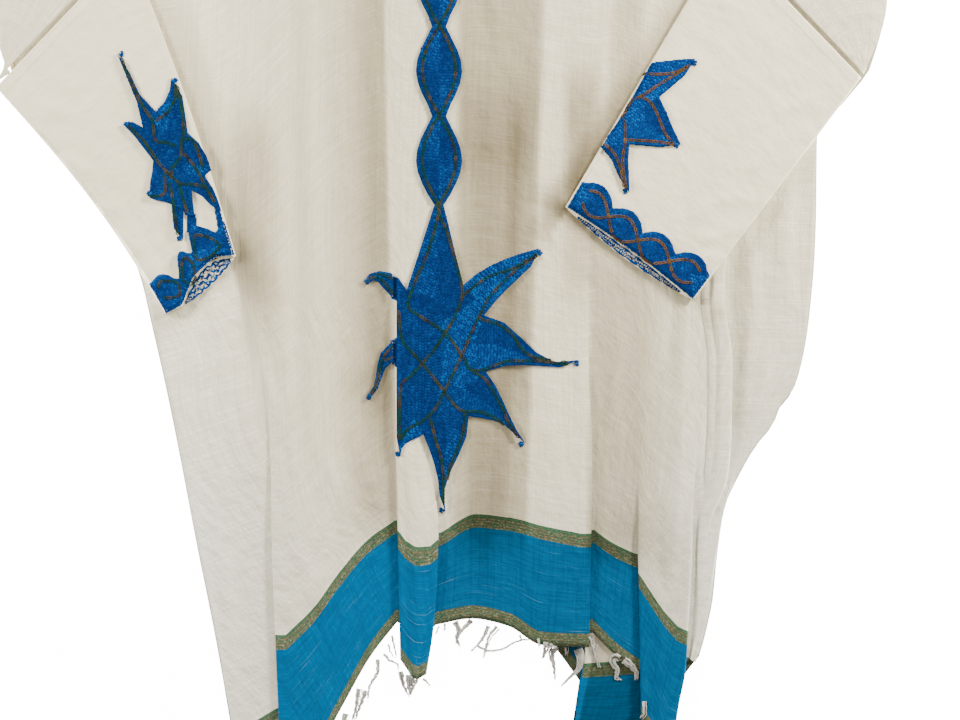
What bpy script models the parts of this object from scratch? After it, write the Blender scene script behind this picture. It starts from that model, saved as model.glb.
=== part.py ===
"""Habesha kemis: a loose white cotton dress laid flat with its front up.

Both sleeves are folded over the front along the armhole seams. Plan places are
in centimetres: x from the centre front, positive to the viewer's right, and
drop, measured down the garment from the neck point. Heights are in millimetres
above the floor that the dress lies on.
"""
import math
import bpy
import bmesh
import numpy as np
from mathutils import Vector
from mathutils.bvhtree import BVHTree
from mathutils.geometry import delaunay_2d_cdt

CM = 0.01
MM = 0.001
NAME = "habesha_kemis"

# Driving sizes
NECK_TO_ORIGIN = 73.43
WALL = 1.2
SEAM_GAP = 0.3
NECK_HALF_WIDTH = 10.9
FRONT_NECK_DEPTH = 11.5
BACK_NECK_DEPTH = 2.6
SHOULDER_SLOPE = 0.577
ARMHOLE_END = 54.0
ARMHOLE_INSET = 0.8
BACK_LIP = 0.15
LEVEL_START = 46.1
LEVEL_END = 97.0
SEAM_HEIGHT = WALL + SEAM_GAP + WALL / 2
LOW_LAYER = 3.4
BINDING_RADIUS = 1.4
BINDING_INSET = 0.2
BINDING_SHIFT = 0.1
BINDING_STEPS = 20
NECK_EASE = 7
ARMHOLE_EASE = 8
EMBROIDERY_THICK = 1.2
EMBROIDERY_GAP = 0.6
SLEEVE_CLEARANCE = 0.4
SLEEVE_LOFT = 3.6

# Side seams in plan: drop, x
LEFT_SEAM = [(19.2, -44.2), (32.3, -48.5), (46.1, -51.4), (51.3, -50.3), (54.0, -49.3), (57.0, -47.8),
             (61.1, -45.2), (65.9, -41.2), (70.5, -38.0), (74.6, -35.6), (78.3, -34.2), (83.0, -33.1),
             (90.0, -31.5), (96.8, -30.1), (108.3, -27.9), (119.8, -25.6), (128.9, -24.0), (143.9, -21.5)]
RIGHT_SEAM = [(19.2, 44.2), (32.3, 48.5), (46.1, 51.4), (51.3, 50.3), (54.0, 49.3), (57.5, 46.6),
              (61.9, 43.2), (70.5, 43.1), (75.8, 42.9), (83.4, 42.2), (87.5, 41.5), (91.3, 40.3),
              (92.8, 39.0), (95.0, 38.1), (96.7, 36.7), (98.6, 35.4), (101.4, 33.9), (103.5, 32.9),
              (105.8, 32.3), (110.1, 31.7), (115.1, 31.2), (117.6, 30.7), (120.4, 30.0), (122.2, 29.4)]

# Fold lines of the front in plan: drop, x
FOLD_LINES = {
    "swoop": [(46.1, -29.0), (74.9, -22.9), (86.3, -20.9), (96.7, -19.8), (115.3, -19.0), (137.0, -18.1)],
    "pleat_left": [(46.1, -6.6), (74.9, -5.4), (86.3, -5.2), (107.7, -4.8), (122.8, -4.5)],
    "pleat_right": [(46.1, -1.6), (74.9, -1.2), (96.7, -0.3), (108.0, -0.2), (117.6, -0.7), (123.7, -1.6)],
    "centre_edge": [(46.1, 19.1), (74.9, 16.9), (96.7, 17.4), (107.4, 17.3), (120.4, 17.1)],
    "right_lap": [(46.1, 30.5), (74.9, 24.6), (96.7, 22.4), (112.0, 22.8), (128.7, 23.1)],
    "right_edge": [(46.1, 38.0), (74.9, 29.6), (85.2, 30.0), (97.6, 29.7), (106.1, 29.0), (111.9, 28.8),
                   (118.7, 28.4), (123.4, 28.1), (126.9, 27.4), (135.2, 26.2)],
    "side_turn": [(46.1, 48.0), (56.0, 45.0), (62.2, 40.4), (67.9, 36.6), (73.5, 33.2), (80.2, 32.6),
                  (87.5, 33.5), (95.9, 33.4), (101.4, 32.9), (103.5, 32.2), (105.8, 31.3), (110.1, 30.6),
                  (115.1, 30.2), (120.4, 29.3), (122.0, 28.9)],
}

# Folds across the front: side is +1 where the top layer lies right of the fold
FOLDS = [
    {"name": "swoop", "side": 1, "starts": 88, "full": 112, "depth": 3.2, "rise": 6.0, "lead": 1.2},
    {"name": "pleat_left", "side": 1, "starts": 76, "full": 88, "depth": 1.2, "rise": 6.6, "lead": 0.9},
    {"name": "pleat_right", "side": -1, "starts": 101, "full": 107, "depth": 1.0, "rise": 6.6, "lead": 0.9},
    {"name": "centre_edge", "side": -1, "starts": 80, "full": 98, "depth": 2.2, "rise": 6.0, "lead": 1.2},
    {"name": "right_lap", "side": 1, "starts": 99, "full": 110, "depth": 1.9, "rise": 6.0, "lead": 1.2},
    {"name": "right_edge", "side": -1, "starts": 92, "full": 110, "depth": 1.9, "rise": 6.0, "lead": 1.2},
    {"name": "side_turn", "side": -1, "starts": 57, "full": 69, "opens": 100, "open": 109,
     "depth": 2.6, "rise": 6.0, "lead": 1.2, "lead_at_hem": 0.2},
]
OPEN_RISE = 1.6

# The cloth between folds, left to right: drops of the border's top and of the hem
PANELS = [
    {"name": "left_under", "columns": 5, "border": [130.6, 127.6], "hem": [143.9, 141.6]},
    {"name": "swoop", "columns": 9, "border": [119.0, 116.0, 111.8, 108.2, 105.9],
     "hem": [137.0, 132.4, 127.0, 121.6, 117.6]},
    {"name": "pleat", "columns": 3, "border": [108.2, 108.9, 108.8], "hem": [123.2, 123.9, 124.1]},
    {"name": "centre", "columns": 10, "border": [107.3, 105.2, 105.6, 106.6, 107.4],
     "hem": [117.9, 117.2, 118.0, 120.2, 120.4]},
    {"name": "mid", "columns": 2, "border": [107.0, 108.6, 109.7], "hem": [118.8, 121.3, 123.2]},
    {"name": "right", "columns": 3, "border": [113.9, 116.3, 118.0], "hem": [130.4, 132.8, 134.6]},
    {"name": "side", "columns": 1, "border": [121.7, 121.7], "hem": [121.8, 121.9]},
    {"name": "seam_part", "columns": 4, "border": [122.0, 122.1], "hem": [122.1, 122.2]},
]
# Drops of the border's top and of the hem right at a fold's edge, where their lines bend there
FOLD_EDGES = {"pleat_left": (107.0, 121.8), "pleat_right": (108.0, 123.5), "right_lap": (111.9, 128.7),
              "right_edge": (118.6, 135.2)}
# Share of the way to that edge, and then on to the low layer, at each point of a fold
TO_EDGE = [(0, 0.0), (1, 0.7), (2, 1.0)]
PAST_EDGE = [(2, 0.0), (3, 0.25), (4, 0.5), (5, 0.6), (6, 0.8), (7, 1.0)]
PLEAT_BULGE = 3.0

# Soft ridges in the front: x at three drops, height in mm, half width in cm
RIDGES = [
    {"from": 44, "to": 104, "x": (-35.0, -27.0, -22.5), "height": 2.6, "half": 1.3},
    {"from": 70, "to": 112, "x": (-24.0, -17.6, -16.3), "height": 2.2, "half": 1.0},
    {"from": 50, "to": 100, "x": (-16.0, -14.0, -12.6), "height": 1.6, "half": 1.5},
    {"from": 30, "to": 104, "x": (1.0, 8.0, 8.4), "height": -1.4, "half": 0.9},
    {"from": 30, "to": 106, "x": (13.0, 11.5, 12.0), "height": 1.6, "half": 1.4},
    {"from": 74, "to": 112, "x": (30.5, 26.6, 24.9), "height": 2.0, "half": 0.9},
    {"from": 62, "to": 98, "x": (40.5, 38.6, 35.2), "height": 3.0, "half": 1.2},
]

RIDGE_RISE = 12
RIDGE_FALL = 10

# Hem of the back, left to right: x, drop
BACK_HEM = [(-22.4, 138.0), (-17.0, 136.0), (-11.0, 125.0), (-5.0, 115.0), (3.0, 112.5), (10.0, 116.5),
            (13.8, 121.3), (16.2, 124.6), (15.3, 128.9), (14.5, 135.5), (20.0, 136.4), (25.4, 135.8)]
BACK_RIGHT_FOOT = [(26.2, 132.0), (26.8, 128.0), (28.0, 123.6)]

# Sleeves: plan places (x, drop) of the inner and outer ends of each ring
SLEEVES = {
    "right": {
        "armhole": [(44.0, 19.4), (47.4, 26.5), (49.9, 35.5), (51.3, 46.1), (50.4, 50.6), (49.3, 54.0)],
        "inner_seam": (33.0, 38.6), "outer_seam": (48.5, 54.8),
        "inner_cuff": (14.4, 70.0), "outer_cuff": (29.0, 80.7), "cuff_bow": 0.7, "crumple": 0.0,
        "pull": 0.28, "pull_end": 1.0,
    },
    "left": {
        "armhole": [(-44.0, 19.4), (-47.4, 26.5), (-49.9, 35.5), (-51.3, 46.1), (-50.9, 50.6), (-49.9, 54.6)],
        "inner_seam": (-35.9, 39.9), "outer_seam": (-51.2, 55.9),
        "inner_cuff": (-23.4, 75.6), "outer_cuff": (-31.4, 82.3), "cuff_bow": 0.8, "crumple": 2.2,
        "pull": 0.6, "pull_end": 0.8,
    },
}
LEFT_OUTER_BOW = 1.3
LEFT_INNER_BOW = 0.6
SLEEVE_COLUMNS = 12
LOWER_RINGS = 12
UPPER_RINGS = 6
# A sleeve's rounded edge in cm, and shares of the lower sleeve's length where its parts begin
SLEEVE_EDGE = 0.35
LOWER_START = 0.012
UPPER_END = -0.004
CUFF_BOW_START = 0.7
CRUMPLE_START = 0.45
CUFF_BACK = 0.9
CRUMPLE_WAVES = 5
CRUMPLE_LEVEL = 0.3
# How the armhole end of a sleeve is set in, and how its top layer turns down there
ARMHOLE_STEP = (0.45, 0.3)
TURN_OUT = 0.3
TURN_FALL = 1.2
TURN_COLUMNS = 3

# Embroidery of the front
LENS_HALF_WIDTH = 2.65
LENS_LENGTH = 10.3
LENS_COUNT = 6
WAIST_HALF_WIDTH = 0.75
COLUMN_X = -0.1
COLUMN_FOOT = 69.7
COLUMN_HEAD = 4.0
COLUMN_POWER = 1.2
COLUMN_FOOT_SHARE = 0.7
STAR_CENTRE = (0.1, 86.4)
RAY_TIP_HALF_WIDTH = 0.42
# Rays of the star, turning clockwise: angle and length of the tip and of the root after it,
# then how much the edge out to the tip and the edge back bulge, near their start and their end
STAR_RAYS = [
    {"tip": 90, "reach": 16.7, "root": 71, "depth": 7.9, "out": (0.0, 0.0), "back": (0.0, 0.0)},
    {"tip": 44.6, "reach": 16.2, "root": 39, "depth": 6.4, "out": (0.12, 0.06), "back": (0.0, -0.05)},
    {"tip": -5.4, "reach": 15.9, "root": -25, "depth": 5.7, "out": (0.13, -0.34), "back": (0.02, -0.13)},
    {"tip": -49.4, "reach": 14.4, "root": -67, "depth": 8.2, "out": (0.06, -0.05), "back": (-0.36, -0.14)},
    {"tip": -89.6, "reach": 18.6, "root": -101.6, "depth": 9.8, "out": (0.12, -0.20), "back": (-0.13, -0.06)},
    {"tip": -112.6, "reach": 13.1, "root": -162, "depth": 5.3, "out": (-0.04, -0.38), "back": (0.0, 0.0)},
]
STAR_LEFT_LIMIT = -4.95
STAR_LEFT_CUT = 96.0
STAR_LEFT_SIDE = [(-4.95, 90.0), (-4.95, 84.0), (-4.95, 77.9), (-4.4, 78.6), (-3.8, 79.5)]
# The two rays left of the pleat: x, drop and half width along each, from its root
SIDE_RAYS = {
    "star_upper_left_ray": [(-5.45, 79.0, 1.35), (-6.1, 78.3, 0.95), (-7.0, 77.9, 0.62), (-7.9, 78.0, 0.42),
                            (-8.5, 78.7, 0.25)],
    "star_left_ray": [(-5.45, 86.5, 1.2), (-6.1, 87.2, 0.85), (-6.7, 88.2, 0.5), (-7.0, 89.4, 0.34),
                      (-7.4, 90.7, 0.28), (-8.3, 91.9, 0.22)],
}
# Sleeve stars: each ray's tip and the root after it in plan, and the bulges as above
RIGHT_STAR = {
    "start": (24.6, 53.6),
    "rays": [
        {"tip": (29.4, 53.4), "root": (25.1, 57.4), "out": (0.0, 0.03), "back": (-0.03, 0.0)},
        {"tip": (27.3, 63.1), "root": (21.7, 62.8), "out": (0.03, -0.03), "back": (-0.04, 0.0)},
        {"tip": (21.3, 68.4), "root": (18.6, 63.1), "out": (-0.05, 0.0), "back": (-0.10, -0.15)},
    ],
    "edge": [(20.4, 60.9), (22.5, 57.4)],
}
LEFT_STAR = {
    "start": (-32.5, 59.1),
    "rays": [
        {"tip": (-30.3, 55.2), "root": (-28.85, 61.5), "out": (-0.15, -0.15), "back": (0.03, 0.0)},
        {"tip": (-26.5, 66.0), "root": (-26.8, 66.6), "out": (0.15, 0.10), "back": (0.0, 0.0)},
        {"tip": (-25.3, 70.8), "root": (-28.4, 68.1), "out": (0.10, 0.05), "back": (-0.16, -0.16)},
        {"tip": (-28.5, 71.1), "root": (-29.4, 70.4), "out": (0.0, 0.0), "back": (0.0, 0.0)},
        {"tip": (-29.8, 73.8), "root": (-30.7, 69.7), "out": (0.02, 0.02), "back": (0.03, 0.0)},
        {"tip": (-33.5, 68.6), "root": (-32.8, 64.7), "out": (-0.10, 0.10), "back": (-0.15, -0.05)},
        {"tip": (-36.0, 60.2), "root": (-34.0, 60.9), "out": (0.0, -0.06), "back": (0.0, 0.0)},
        {"tip": (-36.6, 52.2), "root": (-32.5, 59.1), "out": (-0.08, 0.0), "back": (-0.08, -0.16)},
    ],
    "edge": [],
}
# Depth in cm of each cuff's border at places across the cuff, from the inner edge, and its insets
CUFF_EDGE_INSET = 0.45
CUFF_SIDE_INSET = 0.03
CUFF_POINTS = 25
CUFF_PROFILES = {
    "right": [(hump / 4 + part, 3.5 + rise) for hump in range(4)
              for part, rise in ((0.0, 0.0), (0.05, 0.9), (0.125, 1.3), (0.20, 0.9))] + [(1.0, 3.4)],
    "left": [(0.0, 4.3), (0.05, 4.2), (0.11, 4.1), (0.21, 5.4), (0.36, 6.8), (0.43, 6.3), (0.465, 4.2),
             (0.53, 5.1), (0.6, 5.5), (0.67, 3.8), (0.725, 2.8), (0.8, 3.9), (0.88, 4.4), (1.0, 4.0)],
}

# Fringe along each visible stretch of hem: locks, and the longest of them in cm
FRINGES = [
    {"name": "fringe_left_under", "panel": "left_under", "span": (0.05, 0.95), "locks": 6, "longest": 4.4},
    {"name": "fringe_swoop", "panel": "swoop", "span": (0.03, 0.74), "locks": 18, "longest": 3.2},
    {"name": "fringe_pleat", "panel": "pleat", "span": (0.1, 0.9), "locks": 4, "longest": 2.2},
    {"name": "fringe_centre", "panel": "centre", "span": (0.04, 0.98), "locks": 18, "longest": 4.6},
    {"name": "fringe_mid", "panel": "mid", "span": (0.02, 0.8), "locks": 5, "longest": 4.0},
    {"name": "fringe_right", "panel": "right", "span": (0.1, 0.9), "locks": 8, "longest": 4.0},
]
BACK_FRINGE = {"name": "fringe_back", "from_point": 9, "locks": 9, "longest": 4.4}
STRIP_WIDTH = 0.3
STRIP_GAP = 0.1
STRIP_HALF_HEIGHT = 0.55
HEM_POINTS = 9
SHORTEST_SHARE = 0.55
LOCK_SECTIONS = 3
LOCK_REST = 0.9
LOCK_DRIFT = 0.05
LOCK_DRIFT_TURNS = 40
LOCK_ROOT_SHARE = 0.8
LOCK_FALL_END = 0.85
LOCK_TIP_HALF_WIDTH = 0.05
LOCK_TIP_HALF_HEIGHT = 0.25

# Distance in cm over which a piece laid on others looks for their highest point
FRONT_SPREAD = 0.8
SLEEVE_SPREAD = 1.6
CUFF_SPREAD = 0.9
FRINGE_SPREAD = 0.5
RAY_HEIGHT = 200
# Spacing in cm of the triangles in the embroidery, and how far from its edge they begin
FRONT_SPACING = 1.5
SLEEVE_SPACING = 1.8
EDGE_CLEAR = 0.45

COLOURS = {
    "gauze": (0.84, 0.80, 0.72), "cotton": (0.88, 0.85, 0.77), "blue": (0.0, 0.19, 0.62),
    "fringe": (0.80, 0.79, 0.76),
}


def clear_scene():
    for thing in list(bpy.data.objects):
        bpy.data.objects.remove(thing)


def material(name):
    made = bpy.data.materials.get(name) or bpy.data.materials.new(name)
    made.use_nodes = True
    shader = made.node_tree.nodes["Principled BSDF"]
    shader.inputs["Base Color"].default_value = (*COLOURS[name], 1)
    shader.inputs["Roughness"].default_value = 0.9
    shader.inputs["Metallic"].default_value = 0.0
    return made


def place(x, drop, height):
    """World point in metres of a plan place in cm and a height in mm."""
    return Vector((x * CM, (NECK_TO_ORIGIN - drop) * CM, height * MM))


def eased(points, at):
    """Monotone smooth curve through (position, value) pairs, held level past its ends."""
    xs = [p[0] for p in points]
    ys = [p[1] for p in points]
    if at <= xs[0]:
        return ys[0]
    if at >= xs[-1]:
        return ys[-1]
    slopes = [(ys[i + 1] - ys[i]) / (xs[i + 1] - xs[i]) for i in range(len(xs) - 1)]
    i = next(k for k in range(len(slopes)) if at <= xs[k + 1])

    def tangent(k):
        if k == 0 or k == len(xs) - 1:
            return slopes[min(k, len(slopes) - 1)]
        before, after = slopes[k - 1], slopes[k]
        return 2 * before * after / (before + after) if before * after > 0 else 0.0

    span = xs[i + 1] - xs[i]
    t = (at - xs[i]) / span
    return (ys[i] * (1 + 2 * t) * (1 - t) ** 2 + tangent(i) * span * t * (1 - t) ** 2
            + ys[i + 1] * t * t * (3 - 2 * t) + tangent(i + 1) * span * t * t * (t - 1))


def step(low, high, at):
    """Smooth rise from 0 at low to 1 at high."""
    t = min(max((at - low) / (high - low), 0.0), 1.0)
    return t * t * (3 - 2 * t)


def mix(a, b, t):
    return a + (b - a) * t


def top_drop(x, neck_depth):
    """Drop of the shoulder line, or of the neckline between the neck sides."""
    if abs(x) >= NECK_HALF_WIDTH:
        return (abs(x) - NECK_HALF_WIDTH) * SHOULDER_SLOPE
    return neck_depth * math.sqrt(1 - (x / NECK_HALF_WIDTH) ** 2)


def fold_line(name, drop):
    """x of a fold line. Above the flat part of the body it spreads with the shoulder."""
    spread = eased(RIGHT_SEAM, drop) / eased(RIGHT_SEAM, LEVEL_START) if drop < LEVEL_START else 1.0
    return eased(FOLD_LINES[name], max(drop, LEVEL_START)) * spread


def side_line(side, drop):
    """x of the front's side edge, set in along the armhole to leave room for the sleeve's turn."""
    inset = ARMHOLE_INSET * (1 - step(ARMHOLE_END, ARMHOLE_END + ARMHOLE_EASE, drop))
    return eased(RIGHT_SEAM, drop) - inset if side > 0 else eased(LEFT_SEAM, drop) + inset


def fold_state(fold, drop):
    """0 where a fold is only a soft ramp, 1 where its layers lie fully on each other."""
    closed = step(fold["starts"], fold["full"], drop)
    if "open" in fold:
        closed *= 1 - step(fold["opens"], fold["open"], drop)
    return closed


# A fold from its top layer to its low layer: share of the lead, share of the depth, share of the rise
FOLD_SECTION = [(-1.0, 0.0, 1.0), (-0.3, 0.0, 0.97), (0.0, 0.0, 0.76), (-0.25, 0.0, 0.54),
                (0.22, -1.0, 0.46), (0.0, -1.0, 0.24), (0.22, -1.0, 0.03), (0.35, 0.0, 0.0)]


def fold_drops(fold, where, before, after):
    """Drops of the border's top and the hem at a point of a fold, given those either side of it."""
    order = where if fold["side"] < 0 else len(FOLD_SECTION) - 1 - where
    top, low = (before, after) if fold["side"] < 0 else (after, before)
    edge = FOLD_EDGES.get(fold["name"], top)
    to_edge = eased(TO_EDGE, order)
    past_edge = eased(PAST_EDGE, order)
    return [mix(mix(t, e, to_edge), l, past_edge) for t, e, l in zip(top, edge, low)]


class Front:
    """The front as one sheet: each column is a line of the cloth from its top edge to the hem."""

    def __init__(self):
        self.columns = []
        for i, panel in enumerate(PANELS):
            count = panel["columns"]
            first = 0 if i == 0 else 1
            last = count + 1 if i == len(PANELS) - 1 else count
            for k in range(first, last + 1):
                self.columns.append(("panel", i, k / (count + 1)))
            if i < len(FOLDS):
                for k in range(len(FOLD_SECTION)):
                    self.columns.append(("fold", i, k))

    def fold_point(self, index, k, drop):
        fold = FOLDS[index]
        order = k if fold["side"] < 0 else len(FOLD_SECTION) - 1 - k
        lead_share, depth_share, rise_share = FOLD_SECTION[order]
        state = fold_state(fold, drop)
        lead = fold["lead"]
        if "lead_at_hem" in fold:
            lead = mix(lead, fold["lead_at_hem"], step(106, 120, drop))
        closed = lead_share * lead + depth_share * fold["depth"]
        opened = mix(-lead, lead, order / (len(FOLD_SECTION) - 1))
        across = mix(opened, closed, state)
        x = fold_line(fold["name"], drop) + (across if fold["side"] < 0 else -across)
        rise = mix(OPEN_RISE, fold["rise"], state)
        share = mix(1 - order / (len(FOLD_SECTION) - 1), rise_share, state)
        return x, LOW_LAYER + share * rise

    def ends(self, index, drop):
        """Plan x and height where a panel meets the fold or seam on its left and right."""
        if index == 0:
            left = (side_line(-1, drop), SEAM_HEIGHT)
        else:
            left = self.fold_point(index - 1, len(FOLD_SECTION) - 1, drop)
        if index == len(PANELS) - 1:
            right = (side_line(1, drop), SEAM_HEIGHT)
        else:
            right = self.fold_point(index, 0, drop)
        return left, right

    def at(self, column, drop):
        kind, index, where = column
        if kind == "fold":
            x, height = self.fold_point(index, where, drop)
        else:
            left, right = self.ends(index, drop)
            x = mix(left[0], right[0], where)
            height = mix(left[1], right[1], step(0, 1, where))
            if PANELS[index]["name"] == "pleat":
                height += PLEAT_BULGE * math.sin(math.pi * where) * step(92, 108, drop)
            height += self.ridge(x, drop) * math.sin(math.pi * where) ** 0.5
            height = max(height, SEAM_HEIGHT)
        edge = top_drop(x, FRONT_NECK_DEPTH)
        height = mix(SEAM_HEIGHT, height, step(edge, edge + NECK_EASE, drop))
        return x, height

    def ridge(self, x, drop):
        total = 0.0
        for ridge in RIDGES:
            middle = (ridge["from"] + ridge["to"]) / 2
            line = eased(list(zip((ridge["from"], middle, ridge["to"]), ridge["x"])), drop)
            fade = step(ridge["from"], ridge["from"] + RIDGE_RISE, drop)
            fade *= 1 - step(ridge["to"] - RIDGE_FALL, ridge["to"], drop)
            total += ridge["height"] * fade * math.exp(-((x - line) / ridge["half"]) ** 2)
        return total

    def edges(self, column):
        """Drops of the top edge, the border's top and the hem of a column."""
        kind, index, where = column
        if kind == "panel":
            span = np.linspace(0, 1, len(PANELS[index]["border"]))
            border = eased(list(zip(span, PANELS[index]["border"])), where)
            hem = eased(list(zip(np.linspace(0, 1, len(PANELS[index]["hem"])), PANELS[index]["hem"])), where)
        else:
            before, after = PANELS[index], PANELS[index + 1]
            border, hem = fold_drops(FOLDS[index], where, (before["border"][-1], before["hem"][-1]),
                                     (after["border"][0], after["hem"][0]))
        top = 0.0
        for _ in range(4):
            top = top_drop(self.at(column, top)[0], FRONT_NECK_DEPTH)
        return top, border, hem

    def rows(self, column):
        """Drops of the grid's rows along a column."""
        top, border, hem = self.edges(column)
        drops = [mix(top, LEVEL_START, f) for f in (0, 0.14, 0.32, 0.55, 0.78)]
        drops += [LEVEL_START, 53, 60, 66, 72, 78, 84, 90, LEVEL_END]
        drops += [mix(LEVEL_END, border, f) for f in (0.35, 0.68, 1)]
        drops += [mix(border, hem, f) for f in (0.36, 0.7, 1)]
        return drops

    def grid(self):
        lines = []
        for column in self.columns:
            line = []
            for drop in self.rows(column):
                x, height = self.at(column, drop)
                line.append((x, drop, height))
            lines.append(line)
        self.snap_neck(lines)
        return [list(row) for row in zip(*lines)]

    def snap_neck(self, lines):
        """Puts the nearest columns' top points on the two corners between neckline and shoulder."""
        for side in (-1, 1):
            corner = min(lines, key=lambda line: abs(line[0][0] - side * NECK_HALF_WIDTH))
            corner[0] = (side * NECK_HALF_WIDTH, 0.0, SEAM_HEIGHT)

    def hem_line(self, name, span, count):
        """Points (x, drop, height) along the visible hem of a panel."""
        index = next(i for i, panel in enumerate(PANELS) if panel["name"] == name)
        line = []
        for where in np.linspace(span[0], span[1], count):
            column = ("panel", index, where)
            hem = self.edges(column)[2]
            x, height = self.at(column, hem)
            line.append((x, hem, height))
        return line


def add_object(name, mesh, slot, collection):
    thing = bpy.data.objects.new(name, mesh)
    thing.data.materials.append(material(slot))
    collection.objects.link(thing)
    return thing


def sheet_mesh(name, grid, ring=False):
    """Mesh of a grid of (x, drop, height) points; ring joins each row's last point to its first."""
    mesh = bpy.data.meshes.new(name)
    build = bmesh.new()
    points = [[build.verts.new(place(*point)) for point in row] for row in grid]
    width = len(grid[0])
    for upper, lower in zip(points, points[1:]):
        for k in range(width if ring else width - 1):
            n = (k + 1) % width
            build.faces.new((upper[k], lower[k], lower[n], upper[n]))
    bmesh.ops.recalc_face_normals(build, faces=build.faces)
    if not ring and sum(face.normal.z for face in build.faces) < 0:
        bmesh.ops.reverse_faces(build, faces=build.faces)
    build.to_mesh(mesh)
    build.free()
    return mesh


def thicken(thing, thickness, offset=0.0):
    wall = thing.modifiers.new("wall", "SOLIDIFY")
    wall.thickness = thickness * MM
    wall.offset = offset
    return thing


class Ground:
    """Heights in mm of the highest cloth below a plan place, spread to its surroundings."""

    def __init__(self, things, spread, floor=0.0):
        bpy.context.view_layer.update()
        graph = bpy.context.evaluated_depsgraph_get()
        self.trees = [BVHTree.FromObject(thing, graph) for thing in things]
        self.spread = spread
        self.floor = floor

    def point(self, x, drop):
        start = place(x, drop, RAY_HEIGHT)
        best = self.floor
        for tree in self.trees:
            hit = tree.ray_cast(start, Vector((0, 0, -1)))[0]
            if hit is not None:
                best = max(best, hit.z / MM)
        return best

    def height(self, x, drop):
        best = self.point(x, drop)
        for reach in (0.5, 1.0):
            for turn in range(8):
                angle = turn * math.pi / 4
                here = self.point(x + math.cos(angle) * self.spread * reach,
                                  drop + math.sin(angle) * self.spread * reach)
                best = max(best, here)
        return best


def make_front(collection):
    front = Front()
    thing = add_object("front_panel", sheet_mesh("front_panel", front.grid()), "gauze", collection)
    return front, thicken(thing, WALL)


def make_back(collection):
    """The back is one flat piece: an outline with the neckline at its top and the hem at its foot."""
    outline = []
    for x in np.linspace(-NECK_HALF_WIDTH, NECK_HALF_WIDTH, 15):
        outline.append((x, top_drop(x, BACK_NECK_DEPTH)))
    outline += [(x + (BACK_LIP if d > ARMHOLE_END else 0.0), d) for d, x in RIGHT_SEAM]
    outline += [(x, d) for x, d in reversed(BACK_RIGHT_FOOT)]
    outline += list(reversed(BACK_HEM))
    left_drops = [d for d, _ in LEFT_SEAM if d < BACK_HEM[0][1]]
    outline += [(eased(LEFT_SEAM, d) - (BACK_LIP if d > ARMHOLE_END else 0.0), d) for d in reversed(left_drops)]
    curve = bpy.data.curves.new("back_panel", "CURVE")
    curve.dimensions = "2D"
    curve.fill_mode = "BOTH"
    curve.extrude = WALL / 2 * MM
    spline = curve.splines.new("POLY")
    spline.points.add(len(outline) - 1)
    for point, (x, drop) in zip(spline.points, outline):
        point.co = (*place(x, drop, 0)[:2], 0, 1)
    spline.use_cyclic_u = True
    thing = bpy.data.objects.new("back_panel", curve)
    thing.location.z = WALL / 2 * MM
    curve.materials.append(material("gauze"))
    collection.objects.link(thing)
    return thing


def make_binding(collection):
    """Rolled binding round the neck opening, lying on the cut edges of front and back."""
    over_back = WALL + SEAM_GAP + BINDING_RADIUS
    over_front = SEAM_HEIGHT + WALL / 2 + SEAM_GAP + BINDING_RADIUS
    inset = (BINDING_RADIUS + SEAM_GAP) * MM / CM
    reach = NECK_HALF_WIDTH - inset
    round_neck = [(k / BINDING_STEPS, FRONT_NECK_DEPTH, over_front) for k in range(BINDING_STEPS + 1)]
    round_neck += [(1 - k / BINDING_STEPS, BACK_NECK_DEPTH, over_back) for k in range(1, BINDING_STEPS)]
    points = []
    for turn, neck_depth, height in round_neck:
        angle = math.pi * turn
        depth = neck_depth - inset - BINDING_INSET
        points.append((-math.cos(angle) * reach, math.sin(angle) * depth - BINDING_SHIFT, height))
    curve = bpy.data.curves.new("neck_binding", "CURVE")
    curve.dimensions = "3D"
    curve.bevel_depth = BINDING_RADIUS * MM
    curve.bevel_resolution = 1
    spline = curve.splines.new("POLY")
    spline.points.add(len(points) - 1)
    for point, where in zip(spline.points, points):
        point.co = (*place(*where), 1)
    spline.use_cyclic_u = True
    thing = bpy.data.objects.new("neck_binding", curve)
    curve.materials.append(material("cotton"))
    collection.objects.link(thing)
    return thing


def along(points, share):
    """Point at a share of the index range of a list of plan points."""
    at = share * (len(points) - 1)
    x = eased([(i, p[0]) for i, p in enumerate(points)], at)
    drop = eased([(i, p[1]) for i, p in enumerate(points)], at)
    return x, drop


def sleeve_ring(plan, ground):
    """Flattened ring through plan points from the inner to the outer edge, bottom layer first."""
    count = len(plan)
    heights = [ground.height(*p) + SLEEVE_CLEARANCE + WALL / 2 for p in plan]
    smooth = [max(heights[max(k - 1, 0):k + 2]) for k in range(count)]
    width = math.dist(plan[0], plan[-1])
    bottom, top = [], []
    for k, (x, drop) in enumerate(plan):
        share = k / (count - 1)
        inward = min(max(share, SLEEVE_EDGE / width), 1 - SLEEVE_EDGE / width)
        px = mix(plan[0][0], plan[-1][0], inward) + (x - mix(plan[0][0], plan[-1][0], share))
        pd = mix(plan[0][1], plan[-1][1], inward) + (drop - mix(plan[0][1], plan[-1][1], share))
        bottom.append((px, pd, smooth[k]))
        top.append((px, pd, smooth[k] + SLEEVE_LOFT))
    outer = (*plan[-1], (bottom[-1][2] + top[-1][2]) / 2)
    inner = (*plan[0], (bottom[0][2] + top[0][2]) / 2)
    return bottom + [outer] + list(reversed(top)) + [inner]


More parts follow.
